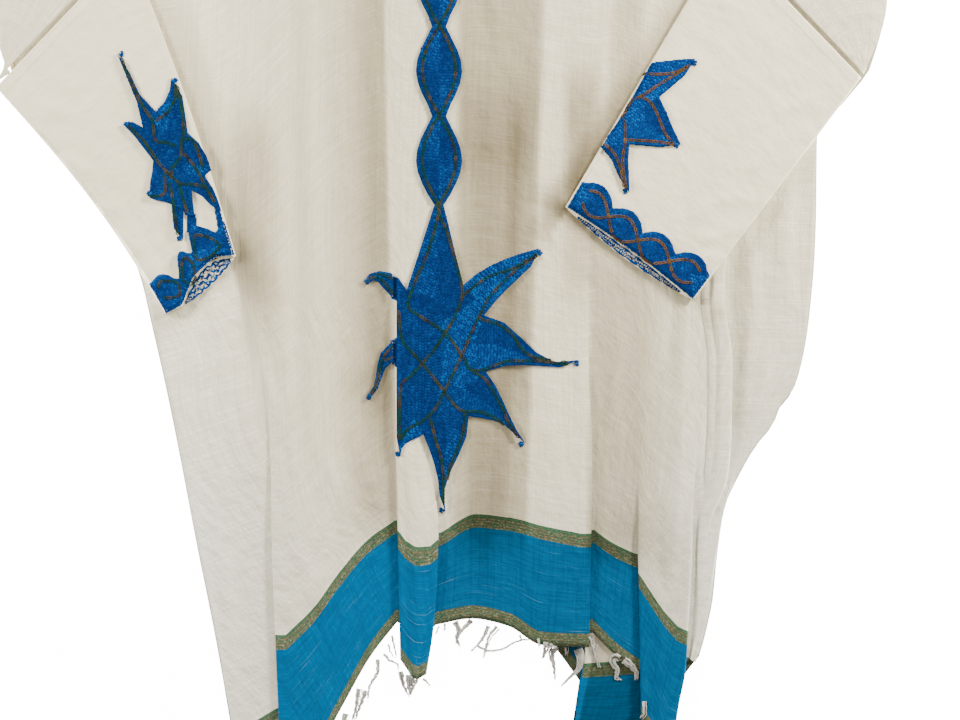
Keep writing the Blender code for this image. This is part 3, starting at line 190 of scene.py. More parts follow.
# Bands of the front where cloth lies double behind: edges at the top and the bottom of each
TONE_BANDS = [
    {"left": (-12.2, -10.4), "right": (-6.6, -5.4),
     "drops": (38, 92), "depth": (0.10, 0.13), "soft": (5.0, 0.5)},
    {"left": (-11.0, -9.6), "right": (-5.4, -4.8),
     "drops": (90, 107), "depth": (0.10, 0.14), "soft": (4.0, 0.4)},
    {"left": (2.4, 1.4), "right": (12.2, 9.9), "drops": (38, 108), "depth": (0.09, 0.13), "soft": (1.4, 0.6)},
    {"left": (4.0, 3.4), "right": (9.4, 8.6), "drops": (60, 106), "depth": (0.04, 0.06), "soft": (1.6, 1.6)},
    {"left": (8.4, 5.8), "right": (9.8, 7.4), "drops": (58, 106), "depth": (0.05, 0.05), "soft": (1.0, 1.0)},
    {"left": (17.4, 16.9), "right": (24.6, 24.8),
     "drops": (74, 110), "depth": (0.10, 0.13), "soft": (0.6, 4.0)},
    {"left": (-24.0, -22.6), "right": (-19.4, -18.6),
     "drops": (60, 86), "depth": (0.11, 0.06), "soft": (1.6, 2.4)},
    {"left": (33.9, 33.5), "right": (35.7, 35.0),
     "drops": (74, 96), "depth": (0.08, 0.06), "soft": (0.7, 0.7)},
    {"left": (26.9, 25.3), "right": (28.4, 26.8),
     "drops": (76, 112), "depth": (0.07, 0.05), "soft": (0.8, 0.8)},
    {"left": (-1.6, -1.4), "right": (-0.6, -0.3),
     "drops": (40, 66), "depth": (0.05, 0.05), "soft": (0.4, 0.4)},
    {"left": (-16.8, -16.0), "right": (-15.4, -14.8),
     "drops": (44, 96), "depth": (0.04, 0.03), "soft": (1.2, 1.2)},
    {"left": (14.6, 14.4), "right": (19.0, 17.4),
     "drops": (56, 80), "depth": (0.10, 0.08), "soft": (1.4, 1.0)},
    {"left": (20.2, 18.0), "right": (23.8, 20.6),
     "drops": (44, 74), "depth": (0.08, 0.08), "soft": (1.0, 1.0)},
    {"left": (28.0, 10.3), "right": (30.6, 12.9),
     "drops": (44, 73), "depth": (0.10, 0.19), "soft": (2.4, 0.4)},
    {"left": (10.9, 29.6), "right": (13.7, 32.6),
     "drops": (69, 82), "depth": (0.20, 0.12), "soft": (2.8, 0.4)},
    {"left": (-34.3, -22.9), "right": (-30.6, -19.0),
     "drops": (44, 80), "depth": (0.07, 0.14), "soft": (0.5, 3.4)},
    {"left": (-24.9, -34.1), "right": (-21.6, -31.0),
     "drops": (76, 84), "depth": (0.10, 0.08), "soft": (0.5, 2.4)},
    {"left": (1.8, 2.4), "right": (11.5, 11.2), "drops": (36, 66), "depth": (0.05, 0.06), "soft": (1.0, 1.0)},
    {"left": (14.4, 14.4), "right": (18.4, 16.0),
     "drops": (54, 70), "depth": (0.07, 0.07), "soft": (1.2, 1.0)},
    {"left": (-9.0, -8.2), "right": (-6.6, -5.8),
     "drops": (36, 96), "depth": (0.04, 0.07), "soft": (1.6, 0.6)},
    {"left": (3.0, 3.2), "right": (6.4, 6.0), "drops": (90, 112), "depth": (0.03, 0.04), "soft": (0.8, 0.8)},
    {"left": (2.0, 1.6), "right": (11.2, 10.0), "drops": (56, 92), "depth": (0.05, 0.05), "soft": (1.0, 1.0)},
    {"left": (0.4, 0.4), "right": (30.0, 30.0),
     "drops": (106, 130), "depth": (0.045, 0.045), "soft": (3.0, 1.0)},
]
TONE_POWERS = (3.9, 4.15, 4.7)
SLEEVE_CREASES = {
    "right": [((44.4, 57.0), (36.6, 60.4), 0.9, 0.8), ((41.0, 62.0), (34.0, 66.0), 0.8, 0.7),
              ((38.0, 68.6), (29.0, 70.0), 0.9, 0.8), ((35.0, 73.0), (28.6, 73.4), 1.0, 0.6),
              ((33.0, 76.0), (27.4, 76.6), 0.8, 0.5), ((31.0, 46.0), (40.0, 52.0), 0.8, 1.1),
              ((46.6, 40.0), (41.0, 47.0), 0.9, 0.9), ((44.0, 30.0), (39.0, 40.0), 1.0, 1.2)],
    "left": [((-47.0, 58.0), (-40.0, 60.6), 0.9, 0.8), ((-44.6, 64.0), (-38.6, 66.4), 0.9, 0.7),
             ((-40.6, 69.4), (-35.4, 71.0), 1.0, 0.7), ((-37.8, 73.6), (-33.6, 74.4), 1.1, 0.6),
             ((-35.6, 77.4), (-31.0, 77.0), 1.0, 0.5), ((-38.0, 44.0), (-44.0, 52.0), 0.8, 1.1),
             ((-47.0, 40.0), (-42.6, 46.0), 0.9, 0.9), ((-44.0, 28.0), (-39.6, 40.0), 1.0, 1.2)],
}

# Embroidery, shared with the part's source
LENS_HALF_WIDTH = 2.65
LENS_LENGTH = 10.3
LENS_COUNT = 6
WAIST_HALF_WIDTH = 0.75
COLUMN_X = -0.1
COLUMN_FOOT = 69.7
STAR_CENTRE = (0.1, 86.4)
RAY_TIP_HALF_WIDTH = 0.42
# Rays of the star, turning clockwise: angle and length of the tip and of the root after it,
# then how much the edge out to the tip and the edge back bulge, near their start and their end
STAR_RAYS = [
    {"tip": 90, "reach": 16.7, "root": 71, "depth": 7.9, "out": (0.0, 0.0), "back": (0.0, 0.0)},
    {"tip": 44.6, "reach": 16.2, "root": 39, "depth": 6.4, "out": (0.12, 0.06), "back": (0.0, -0.05)},
    {"tip": -5.4, "reach": 15.9, "root": -25, "depth": 5.7, "out": (0.13, -0.34), "back": (0.02, -0.13)},
    {"tip": -49.4, "reach": 14.4, "root": -67, "depth": 8.2, "out": (0.06, -0.05), "back": (-0.36, -0.14)},
    {"tip": -89.6, "reach": 18.6, "root": -101.6, "depth": 9.8, "out": (0.12, -0.20), "back": (-0.13, -0.06)},
    {"tip": -112.6, "reach": 13.1, "root": -162, "depth": 5.3, "out": (-0.04, -0.38), "back": (0.0, 0.0)},
]
STAR_LEFT_LIMIT = -4.95
STAR_LEFT_SIDE = [(-4.95, 90.0), (-4.95, 84.0), (-4.95, 77.9), (-4.4, 78.6), (-3.8, 79.5)]
# The two rays left of the pleat: x, drop and half width along each, from its root
SIDE_RAYS = {
    "star_upper_left_ray": [(-5.45, 79.0, 1.35), (-6.1, 78.3, 0.95), (-7.0, 77.9, 0.62), (-7.9, 78.0, 0.42),
                            (-8.5, 78.7, 0.25)],
    "star_left_ray": [(-5.45, 86.5, 1.2), (-6.1, 87.2, 0.85), (-6.7, 88.2, 0.5), (-7.0, 89.4, 0.34),
                      (-7.4, 90.7, 0.28), (-8.3, 91.9, 0.22)],
}
# Sleeve stars: each ray's tip and the root after it in plan, and the bulges as above
RIGHT_STAR = {
    "start": (24.6, 53.6),
    "rays": [
        {"tip": (29.4, 53.4), "root": (25.1, 57.4), "out": (0.0, 0.03), "back": (-0.03, 0.0)},
        {"tip": (27.3, 63.1), "root": (21.7, 62.8), "out": (0.03, -0.03), "back": (-0.04, 0.0)},
        {"tip": (21.3, 68.4), "root": (18.6, 63.1), "out": (-0.05, 0.0), "back": (-0.10, -0.15)},
    ],
    "edge": [(20.4, 60.9), (22.5, 57.4)],
}
LEFT_STAR = {
    "start": (-32.5, 59.1),
    "rays": [
        {"tip": (-30.3, 55.2), "root": (-28.85, 61.5), "out": (-0.15, -0.15), "back": (0.03, 0.0)},
        {"tip": (-26.5, 66.0), "root": (-26.8, 66.6), "out": (0.15, 0.10), "back": (0.0, 0.0)},
        {"tip": (-25.3, 70.8), "root": (-28.4, 68.1), "out": (0.10, 0.05), "back": (-0.16, -0.16)},
        {"tip": (-28.5, 71.1), "root": (-29.4, 70.4), "out": (0.0, 0.0), "back": (0.0, 0.0)},
        {"tip": (-29.8, 73.8), "root": (-30.7, 69.7), "out": (0.02, 0.02), "back": (0.03, 0.0)},
        {"tip": (-33.5, 68.6), "root": (-32.8, 64.7), "out": (-0.10, 0.10), "back": (-0.15, -0.05)},
        {"tip": (-36.0, 60.2), "root": (-34.0, 60.9), "out": (0.0, -0.06), "back": (0.0, 0.0)},
        {"tip": (-36.6, 52.2), "root": (-32.5, 59.1), "out": (-0.08, 0.0), "back": (-0.08, -0.16)},
    ],
    "edge": [],
}
# Depth in cm of each cuff's border at places across the cuff, from the inner edge
CUFF_EDGE_INSET = 0.45
CUFF_PROFILES = {
    "right": [(hump / 4 + part, 3.5 + rise) for hump in range(4)
              for part, rise in ((0.0, 0.0), (0.05, 0.9), (0.125, 1.3), (0.20, 0.9))] + [(1.0, 3.4)],
    "left": [(0.0, 4.3), (0.05, 4.2), (0.11, 4.1), (0.21, 5.4), (0.36, 6.8), (0.43, 6.3), (0.465, 4.2),
             (0.53, 5.1),
             (0.6, 5.5), (0.67, 3.8), (0.725, 2.8), (0.8, 3.9), (0.88, 4.4), (1.0, 4.0)],
}
# Lines of chain stitch over the column and star, each through a few places in plan
STAR_LINES = [
    [(-0.6, 72.7), (-1.6, 75.7), (-2.9, 78.7), (-3.7, 81.2), (-1.9, 82.7), (0.6, 84.4),
     (2.5, 87.0), (3.6, 88.7),
     (5.1, 89.6), (6.1, 91.1), (7.1, 92.9), (8.1, 95.1), (9.2, 96.7)],
    [(0.6, 72.2), (1.4, 74.7), (2.1, 77.2), (2.6, 79.7), (1.6, 82.7), (0.6, 84.4), (-0.6, 86.2), (-2.0, 87.9),
     (-3.4, 89.4), (-4.4, 90.3), (-4.6, 92.9), (-4.6, 96.5)],
    [(2.6, 80.2), (4.4, 78.7), (5.9, 77.8), (7.9, 77.2), (11.1, 75.4)],
    [(11.1, 75.6), (9.1, 76.9), (7.1, 78.7), (5.6, 80.4), (4.4, 82.7), (3.4, 84.9), (2.5, 87.0), (1.6, 88.9),
     (0.5, 91.1), (-0.4, 92.9), (-1.9, 94.4), (-3.6, 95.4), (-4.5, 96.6)],
    [(-4.7, 81.9), (-4.6, 83.2), (-4.4, 84.9), (-3.4, 86.4), (-2.0, 87.9), (-0.6, 89.7), (0.5, 91.1),
     (1.9, 92.9),
     (2.9, 93.4), (4.4, 93.4), (5.9, 93.9), (7.1, 94.7), (8.1, 95.9), (8.9, 96.9)],
    [(4.4, 82.7), (6.6, 83.4), (8.1, 84.4), (9.4, 86.2), (10.6, 87.1), (14.8, 87.8)],
    [(14.6, 88.0), (10.9, 87.6), (8.1, 87.6), (6.1, 88.2), (4.6, 88.7), (3.6, 88.7)],
    [(-1.1, 94.2), (-0.5, 96.6), (0.1, 98.6), (0.4, 101.1), (0.4, 103.9)],
    [(2.9, 93.4), (2.7, 95.6), (1.9, 97.9), (1.1, 100.1), (0.6, 102.9)],
]
SIDE_RAY_LINES = {
    "star_upper_left_ray": [[(-5.4, 79.9), (-6.2, 78.8), (-7.0, 78.1), (-7.9, 78.0), (-8.4, 78.6)],
                            [(-5.4, 78.2), (-6.2, 77.8), (-7.2, 77.6)]],
    "star_left_ray": [[(-5.4, 85.9), (-6.2, 86.8), (-6.8, 88.0), (-7.0, 89.4), (-7.5, 90.7), (-8.2, 91.8)],
                      [(-5.4, 87.2), (-6.3, 87.6)]],
}
RIGHT_STAR_LINES = [
    [(23.2, 54.7), (25.1, 54.8), (26.9, 54.6), (28.5, 53.8)],
    [(28.3, 54.0), (26.7, 55.0), (24.9, 56.1), (23.4, 57.1), (21.9, 57.9), (21.0, 59.6)],
    [(22.9, 57.3), (24.0, 57.9), (24.9, 59.4), (25.7, 61.4), (26.8, 62.9)],
    [(26.7, 62.8), (24.7, 62.5), (21.4, 62.3)],
    [(21.0, 59.6), (21.2, 60.7), (21.2, 62.5), (20.9, 64.7), (21.3, 67.8)],
    [(18.9, 62.8), (19.9, 63.8), (20.6, 65.3), (21.1, 67.6)],
]
LEFT_STAR_LINES = [
    [(-36.5, 52.9), (-34.9, 56.6), (-33.9, 58.6), (-32.9, 60.1), (-32.5, 62.5), (-31.4, 62.6), (-30.3, 63.0)],
    [(-32.4, 60.1), (-31.0, 59.0), (-30.2, 57.2), (-30.2, 56.0)],
    [(-30.0, 56.2), (-29.5, 59.0), (-29.3, 61.4), (-29.6, 62.8), (-29.6, 64.1), (-30.7, 65.8), (-30.7, 66.7)],
    [(-29.4, 62.3), (-28.5, 62.2), (-27.6, 63.8), (-27.1, 65.6)],
    [(-29.2, 63.9), (-27.9, 65.6), (-26.9, 67.4), (-25.8, 69.4)],
    [(-35.6, 60.7), (-33.8, 62.5), (-32.1, 65.0), (-30.7, 66.5), (-29.4, 67.4), (-28.1, 67.4), (-26.9, 67.8)],
    [(-30.9, 67.2), (-30.5, 69.4), (-30.0, 73.1)], [(-29.9, 67.2), (-29.4, 68.9), (-28.9, 70.6)],
    [(-31.5, 66.1), (-31.4, 68.3), (-32.5, 68.8), (-33.3, 68.6)],
]
# Lines on the left cuff: across it from its inner edge, and cm up from its end
LEFT_CUFF_LINES = [
    [(0.12, 2.7), (0.24, 4.7), (0.36, 5.9), (0.41, 4.9), (0.43, 3.2), (0.26, 2.5), (0.10, 2.5)],
    [(0.50, 3.4), (0.545, 4.5), (0.62, 4.0), (0.68, 2.5), (0.60, 1.5), (0.52, 2.4), (0.50, 3.2)],
    [(0.95, 3.1), (0.90, 3.7), (0.80, 3.1), (0.735, 2.2), (0.78, 1.2), (0.86, 1.3), (0.95, 1.8)],
]
CHAIN_LENS_SHARE = 0.72
# Stitching goes on past the raised parts: out to the folds and ends of the sleeves
TO_SLEEVE_FOLD = (-0.33, -0.20)
STITCHED_INSET = 0.12
STITCHED_SIDE = 0.022
# and on the cloth itself where a star meets a cuff or runs over a pleat
JOINTS = {
    "left_star_foot": [(-28.95, 70.5), (-27.95, 70.8), (-27.7, 72.9), (-28.9, 72.9)],
    "left_star_side": [(-25.8, 69.9), (-25.1, 70.5), (-24.7, 72.2), (-25.4, 72.5)],
    "pleat_upper": [(-5.7, 77.8), (-4.9, 78.0), (-4.85, 80.8), (-5.6, 80.4)],
    "pleat_lower": [(-5.7, 85.3), (-4.9, 84.9), (-4.85, 88.4), (-5.6, 87.9)],
}
KNOT_INSET = 0.25
KNOT_SPREAD = 0.27
KNOT_GRAINS = 24
KNOT_RAY = 1.5
UNDERLAY_CELL = 0.1
UNDERLAY_LIFT = 0.25
UNDERLAY_FALL = 4.0
LOWEST_STITCH = 1.5
TINY = 1e-9
# Rows of filling stitch in cm: from row to row, from stitch to stitch, and clear of the edge
ROW_PITCH = 0.31
STITCH_APART = 0.27
EDGE_MARGIN = 0.05
SHEEN_HEADING = 0.6
GRAIN_WAIST = 0.22
REVERSE_ROWS = 8

# Fringe: radius in mm of a loose thread and of several fused ones, which lie flatter
THREAD_RADIUS = (0.45, 0.8)
FUSED_RADIUS = (1.3, 2.1)
FUSED_SHARE = 0.35
THREAD_DEPTH = 0.9 * MM
# The paths of its clumps in plan from the hem out, with their threads and their widths in cm
# at the root and the tip
CLUMPS = {
    "fringe_centre": [
        ([(1.7, 117.6), (2.1, 118.6), (1.9, 119.6), (2.4, 120.8)], 9, 0.5, 0.35),
        ([(3.7, 117.5), (2.5, 118.7), (2.0, 119.5), (1.9, 119.9)], 7, 0.6, 0.25),
        ([(5.6, 118.1), (5.1, 119.2), (4.2, 120.4), (3.4, 121.1)], 7, 0.5, 0.2),
        ([(6.7, 118.3), (5.8, 119.3), (5.4, 120.4), (5.0, 121.9)], 7, 0.5, 0.2),
        ([(4.4, 120.4), (5.7, 120.9), (7.1, 120.7), (8.6, 119.9), (9.9, 119.6), (11.2, 119.7)], 4, 0.1, 0.15),
        ([(11.4, 119.4), (11.5, 120.6)], 4, 0.3, 0.2),
        ([(12.4, 119.9), (12.1, 120.9), (11.8, 121.8)], 10, 0.9, 0.25),
        ([(13.3, 120.3), (12.8, 121.4), (13.1, 122.7), (13.2, 124.4)], 10, 0.9, 0.25),
        ([(15.9, 120.7), (16.2, 121.8), (16.0, 122.9), (15.1, 123.8), (13.9, 125.0)], 16, 1.0, 0.2),
        ([(-0.1, 118.1), (-0.5, 119.0)], 3, 0.3, 0.2), ([(0.6, 117.8), (0.5, 118.6)], 2, 0.2, 0.2),
        ([(9.2, 119.1), (9.4, 119.8)], 2, 0.2, 0.2), ([(14.6, 120.5), (14.5, 121.5)], 3, 0.4, 0.3),
    ],
    "fringe_mid": [
        ([(17.3, 119.2), (17.9, 121.4), (18.5, 122.9)], 4, 0.3, 0.15),
        ([(18.2, 120.3), (17.8, 121.3), (18.1, 122.4), (18.4, 122.9)], 3, 0.2, 0.1),
        ([(20.6, 121.8), (20.0, 121.6), (19.8, 122.2), (20.4, 123.2), (20.2, 124.0),
          (20.9, 124.2)], 10, 0.7, 0.3),
        ([(21.1, 122.0), (22.0, 122.7), (22.6, 123.6), (22.5, 124.3)], 10, 0.8, 0.4),
    ],
    "fringe_right": [
        ([(23.5, 126.6), (23.5, 128.0), (23.1, 128.6)], 4, 0.3, 0.3),
        ([(24.0, 130.4), (23.8, 131.8), (24.2, 133.0)], 8, 0.8, 0.3),
        ([(25.2, 132.6), (25.4, 134.0), (25.0, 135.2)], 8, 0.8, 0.3),
        ([(26.6, 134.2), (26.5, 135.4), (26.9, 136.6)], 8, 0.8, 0.3),
    ],
    "fringe_pleat": [
        ([(-4.5, 123.3), (-4.2, 124.8), (-3.5, 126.2)], 10, 0.5, 0.15),
        ([(-3.6, 123.7), (-3.6, 124.8), (-3.4, 126.3)], 10, 0.8, 0.15),
        ([(-2.8, 124.0), (-3.1, 125.0), (-3.4, 126.0)], 8, 0.6, 0.15),
        ([(-2.0, 124.2), (-1.5, 124.5), (-1.1, 125.1)], 4, 0.3, 0.1),
    ],
    "fringe_swoop": [
        ([(-5.6, 119.2), (-5.3, 120.4), (-5.0, 121.7)], 3, 0.2, 0.1),
        ([(-6.0, 120.2), (-5.6, 121.3), (-5.1, 121.8)], 2, 0.2, 0.1),
        ([(-6.5, 121.3), (-5.8, 122.1), (-5.0, 122.4), (-4.7, 123.4)], 3, 0.2, 0.1),
        ([(-7.1, 121.9), (-7.1, 123.2), (-8.1, 125.1), (-8.3, 126.4), (-8.6, 127.4)], 4, 0.3, 0.15),
        ([(-8.9, 125.4), (-9.3, 127.0), (-9.9, 128.9)], 14, 1.2, 0.5),
        ([(-10.6, 128.2), (-10.9, 129.6), (-10.6, 130.8)], 8, 0.9, 0.4),
        ([(-12.4, 130.6), (-12.6, 132.0), (-12.2, 133.2)], 8, 0.9, 0.3),
        ([(-14.2, 132.6), (-14.1, 134.2), (-14.6, 135.4)], 8, 0.9, 0.3),
        ([(-16.2, 134.6), (-16.5, 136.0), (-16.1, 137.6)], 8, 0.9, 0.3),
    ],
    "fringe_left_under": [
        ([(-21.6, 143.6), (-21.9, 145.0), (-21.4, 146.6)], 9, 0.8, 0.3),
        ([(-20.4, 142.9), (-20.3, 144.6), (-20.7, 146.0)], 9, 0.8, 0.3),
        ([(-19.4, 142.3), (-19.2, 143.6), (-19.5, 145.2)], 9, 0.7, 0.3),
    ],
    "fringe_back": [
        ([(15.4, 135.7), (15.2, 137.2), (15.7, 138.6)], 9, 0.9, 0.3),
        ([(17.8, 136.2), (18.1, 137.8), (17.7, 139.2)], 9, 0.9, 0.3),
        ([(20.4, 136.4), (20.2, 137.9), (20.8, 139.4)], 9, 0.9, 0.3),
        ([(22.8, 136.3), (23.1, 137.8), (22.7, 139.3)], 9, 0.9, 0.3),
        ([(24.8, 136.0), (24.9, 137.4), (25.4, 138.8)], 9, 0.8, 0.3),
    ],
}


# Geometry shared by the pieces

def place(x, drop, height):
    """World point in metres of a plan place in cm and a height in mm."""
    return Vector((x * CM, (NECK_TO_ORIGIN - drop) * CM, height * MM))


SLOPES = {}


def eased(points, at):
    """Monotone smooth curve through (position, value) pairs, held level past its ends."""
    if at <= points[0][0]:
        return points[0][1]
    if at >= points[-1][0]:
        return points[-1][1]
    key = tuple(points)
    if key not in SLOPES:
        SLOPES[key] = tangents(points)
    i = next(k for k in range(len(points) - 1) if at <= points[k + 1][0])
    span = points[i + 1][0] - points[i][0]
    t = (at - points[i][0]) / span
    m = SLOPES[key]
    return (points[i][1] * (1 + 2 * t) * (1 - t) ** 2 + m[i] * span * t * (1 - t) ** 2
            + points[i + 1][1] * t * t * (3 - 2 * t) + m[i + 1] * span * t * t * (t - 1))


def tangents(points):
    steps = [(b[1] - a[1]) / (b[0] - a[0]) for a, b in zip(points, points[1:])]
    found = [steps[0]]
    for before, after in zip(steps, steps[1:]):
        found.append(2 * before * after / (before + after) if before * after > 0 else 0.0)
    return found + [steps[-1]]


def step(low, high, at):
    t = min(max((at - low) / (high - low), 0.0), 1.0)
    return t * t * (3 - 2 * t)


def mix(a, b, t):
    return a + (b - a) * t


def spread_evenly(values):
    """(position, value) pairs at even positions from 0 to 1."""
    return [(i / (len(values) - 1), value) for i, value in enumerate(values)]


def top_drop(x, neck_depth):
    if abs(x) >= NECK_HALF_WIDTH:
        return (abs(x) - NECK_HALF_WIDTH) * SHOULDER_SLOPE
    return neck_depth * math.sqrt(1 - (x / NECK_HALF_WIDTH) ** 2)


def fold_line(name, drop):
    spread = eased(RIGHT_SEAM, drop) / eased(RIGHT_SEAM, LEVEL_START) if drop < LEVEL_START else 1.0
    return eased(FOLD_LINES[name], max(drop, LEVEL_START)) * spread


def side_line(side, drop):
    inset = ARMHOLE_INSET * (1 - step(ARMHOLE_END, ARMHOLE_END + 8, drop))
    return eased(RIGHT_SEAM, drop) - inset if side > 0 else eased(LEFT_SEAM, drop) + inset


def fold_state(fold, drop):
    closed = step(fold["starts"], fold["full"], drop)
    if "open" in fold:
        closed *= 1 - step(fold["opens"], fold["open"], drop)
    return closed


LEAD_CURVE = [(k, row[0]) for k, row in enumerate(FOLD_SECTION)]
DEPTH_CURVE = [(k, row[1]) for k, row in enumerate(FOLD_SECTION)]
RISE_CURVE = [(k, row[2]) for k, row in enumerate(FOLD_SECTION)]
LAST_POINT = len(FOLD_SECTION) - 1


def fold_drops(fold, where, before, after):
    """Drops of the border's top and the hem at a point of a fold, given those either side of it."""
    order = where if fold["side"] < 0 else len(FOLD_SECTION) - 1 - where
    top, low = (before, after) if fold["side"] < 0 else (after, before)
    edge = FOLD_EDGES.get(fold["name"], top)
    to_edge = eased(TO_EDGE, order)
    past_edge = eased(PAST_EDGE, order)
    return [mix(mix(t, e, to_edge), l, past_edge) for t, e, l in zip(top, edge, low)]


class Front:
    """The front as one fine sheet: each column is a line of the cloth from its top edge to the hem."""

    def __init__(self):
        self.columns = []
        for i, panel in enumerate(PANELS):
            count = (panel["columns"] + 1) * COLUMN_SPLIT
            first = 0 if i == 0 else 1
            last = count if i == len(PANELS) - 1 else count - 1
            for k in range(first, last + 1):
                self.columns.append(("panel", i, k / count))
            if i < len(FOLDS):
                for k in range(LAST_POINT * FOLD_SPLIT + 1):
                    self.columns.append(("fold", i, k / FOLD_SPLIT))

    def fold_point(self, index, k, drop):
        fold = FOLDS[index]
        order = k if fold["side"] < 0 else LAST_POINT - k
        state = fold_state(fold, drop)
        lead = fold["lead"]
        if "lead_at_hem" in fold:
            lead = mix(lead, fold["lead_at_hem"], step(106, 120, drop))
        closed = eased(LEAD_CURVE, order) * lead + eased(DEPTH_CURVE, order) * fold["depth"]
        opened = mix(-lead, lead, order / LAST_POINT)
        across = mix(opened, closed, state)
        x = fold_line(fold["name"], drop) + (across if fold["side"] < 0 else -across)
        rise = mix(OPEN_RISE, fold["rise"], state)
        share = mix(1 - order / LAST_POINT, eased(RISE_CURVE, order), state)
        return x, LOW_LAYER + share * rise

    def ends(self, index, drop):
        left = ((side_line(-1, drop), SEAM_HEIGHT) if index == 0
                else self.fold_point(index - 1, LAST_POINT, drop))
        if index == len(PANELS) - 1:
            return left, (side_line(1, drop), SEAM_HEIGHT)
        return left, self.fold_point(index, 0, drop)

    def at(self, column, drop):
        kind, index, where = column
        if kind == "fold":
            x, height = self.fold_point(index, where, drop)
        else:
            left, right = self.ends(index, drop)
            x = mix(left[0], right[0], where)
            height = mix(left[1], right[1], step(0, 1, where))
            if PANELS[index]["name"] == "pleat":
                height += PLEAT_BULGE * math.sin(math.pi * where) * step(92, 108, drop)
            height += self.ridge(x, drop) * max(math.sin(math.pi * where), 0) ** 0.5
            height = max(height, SEAM_HEIGHT)
        edge = top_drop(x, FRONT_NECK_DEPTH)
        return x, mix(SEAM_HEIGHT, height, step(edge, edge + 7, drop))

    def ridge(self, x, drop):
        total = 0.0
        for ridge in RIDGES:
            if not ridge["from"] < drop < ridge["to"]:
                continue
            middle = (ridge["from"] + ridge["to"]) / 2
            line = eased([(ridge["from"], ridge["x"][0]), (middle, ridge["x"][1]),
                          (ridge["to"], ridge["x"][2])], drop)
            fade = (step(ridge["from"], ridge["from"] + 12, drop)
                    * (1 - step(ridge["to"] - 10, ridge["to"], drop)))
            total += ridge["height"] * fade * math.exp(-((x - line) / ridge["half"]) ** 2)
        return total

    def edges(self, column):
        kind, index, where = column
        if kind == "panel":
            border = eased(spread_evenly(PANELS[index]["border"]), where)
            hem = eased(spread_evenly(PANELS[index]["hem"]), where)
        else:
            before, after = PANELS[index], PANELS[index + 1]
            border, hem = fold_drops(FOLDS[index], where, (before["border"][-1], before["hem"][-1]),
                                     (after["border"][0], after["hem"][0]))
        top = 0.0
        for _ in range(4):
            top = top_drop(self.at(column, top)[0], FRONT_NECK_DEPTH)
        return top, border, hem

    def trim(self, column):
        """Depth in cm of the border's upper trim down a column."""
        kind, index, where = column
        here = PANELS[index].get("trim", TRIM_DEPTH)
        if kind == "panel":
            return here
        after = PANELS[index + 1].get("trim", TRIM_DEPTH)
        order = where if FOLDS[index]["side"] < 0 else LAST_POINT - where
        top, low = (here, after) if FOLDS[index]["side"] < 0 else (after, here)
        return mix(top, low, eased(PAST_EDGE, order))

    def rows(self, column):
        """Drops of the grid's rows along a column, and where the border's first row is."""
        top, border, hem = self.edges(column)
        drops = [mix(top, LEVEL_START, f) for f in (0, 0.14, 0.32, 0.55, 0.78)]
        drops += [LEVEL_START, 53, 60, 66, 72, 78, 84, 90, LEVEL_END]
        drops += [mix(LEVEL_END, border, f) for f in (0.35, 0.68, 1)]
        border_row = (len(drops) - 1) * ROW_SPLIT
        drops += [mix(border, hem, f) for f in (0.36, 0.7, 1)]
        fine = [mix(a, b, k / ROW_SPLIT) for a, b in zip(drops, drops[1:]) for k in range(ROW_SPLIT)]
        return fine + [drops[-1]], border, hem, border_row

    def grid(self):
        """Arrays of x, drop, height and cloth coordinates, one row of the grid after another."""
        lines, cloth = [], []
        for column in self.columns:
            drops, border, hem, _ = self.rows(column)
            line = [(*self.at(column, drop), drop) for drop in drops]
            lines.append([(x, drop, height) for x, height, drop in line])
            plain = PANELS[column[1]]["name"] in ("side", "seam_part") and column[0] == "panel"
            plain = plain or (column[0] == "fold" and column[1] >= 6)
            depth = max(hem - border, 0.5)
            stations = ([0, self.trim(column), depth - TRIM_DEPTH, depth],
                        [0, TRIM_DEPTH, BORDER_DEPTH - TRIM_DEPTH, BORDER_DEPTH])
            cloth.append([
                (drop - border) if plain or drop < border else float(np.interp(drop - border, *stations))
                for drop in drops])
            if plain:
                cloth[-1] = [min(value, -0.2) for value in cloth[-1]]
        points = np.array(lines).transpose(1, 0, 2)
        along_cloth = np.array(cloth).T
        for side in (-1, 1):
            corner = np.argmin(np.abs(points[0, :, 0] - side * NECK_HALF_WIDTH))
            points[0, corner] = (side * NECK_HALF_WIDTH, 0.0, SEAM_HEIGHT)
        return points, along_cloth


def crease(points, creases):
    """Adds soft creases, each along a straight run in plan, to an array of (x, drop, height)."""
    for start, end, height, half in creases:
        run = np.array(end) - np.array(start)
        length = np.hypot(*run)
        t = ((points[..., 0] - start[0]) * run[0] + (points[..., 1] - start[1]) * run[1]) / length ** 2
        sway = 0.35 * np.sin(t * 7.0 + start[0])
        away = ((points[..., 0] - start[0]) * run[1] - (points[..., 1] - start[1]) * run[0]) / length - sway
        fade = np.clip(t * 4, 0, 1) * np.clip((1 - t) * 3, 0, 1)
        points[..., 2] += height * CREASE_SCALE * fade * np.exp(-(away / half) ** 2)
    return points


def across_cloth(points):
    """Distance in cm across the cloth along each row, from its middle column."""
    stepped = np.diff(points, axis=1)
    stepped[..., 2] *= 0.1
    lengths = np.sqrt((stepped ** 2).sum(-1))
    across = np.concatenate([np.zeros((points.shape[0], 1)), np.cumsum(lengths, axis=1)], axis=1)
    return across - across[:, across.shape[1] // 2][:, None]


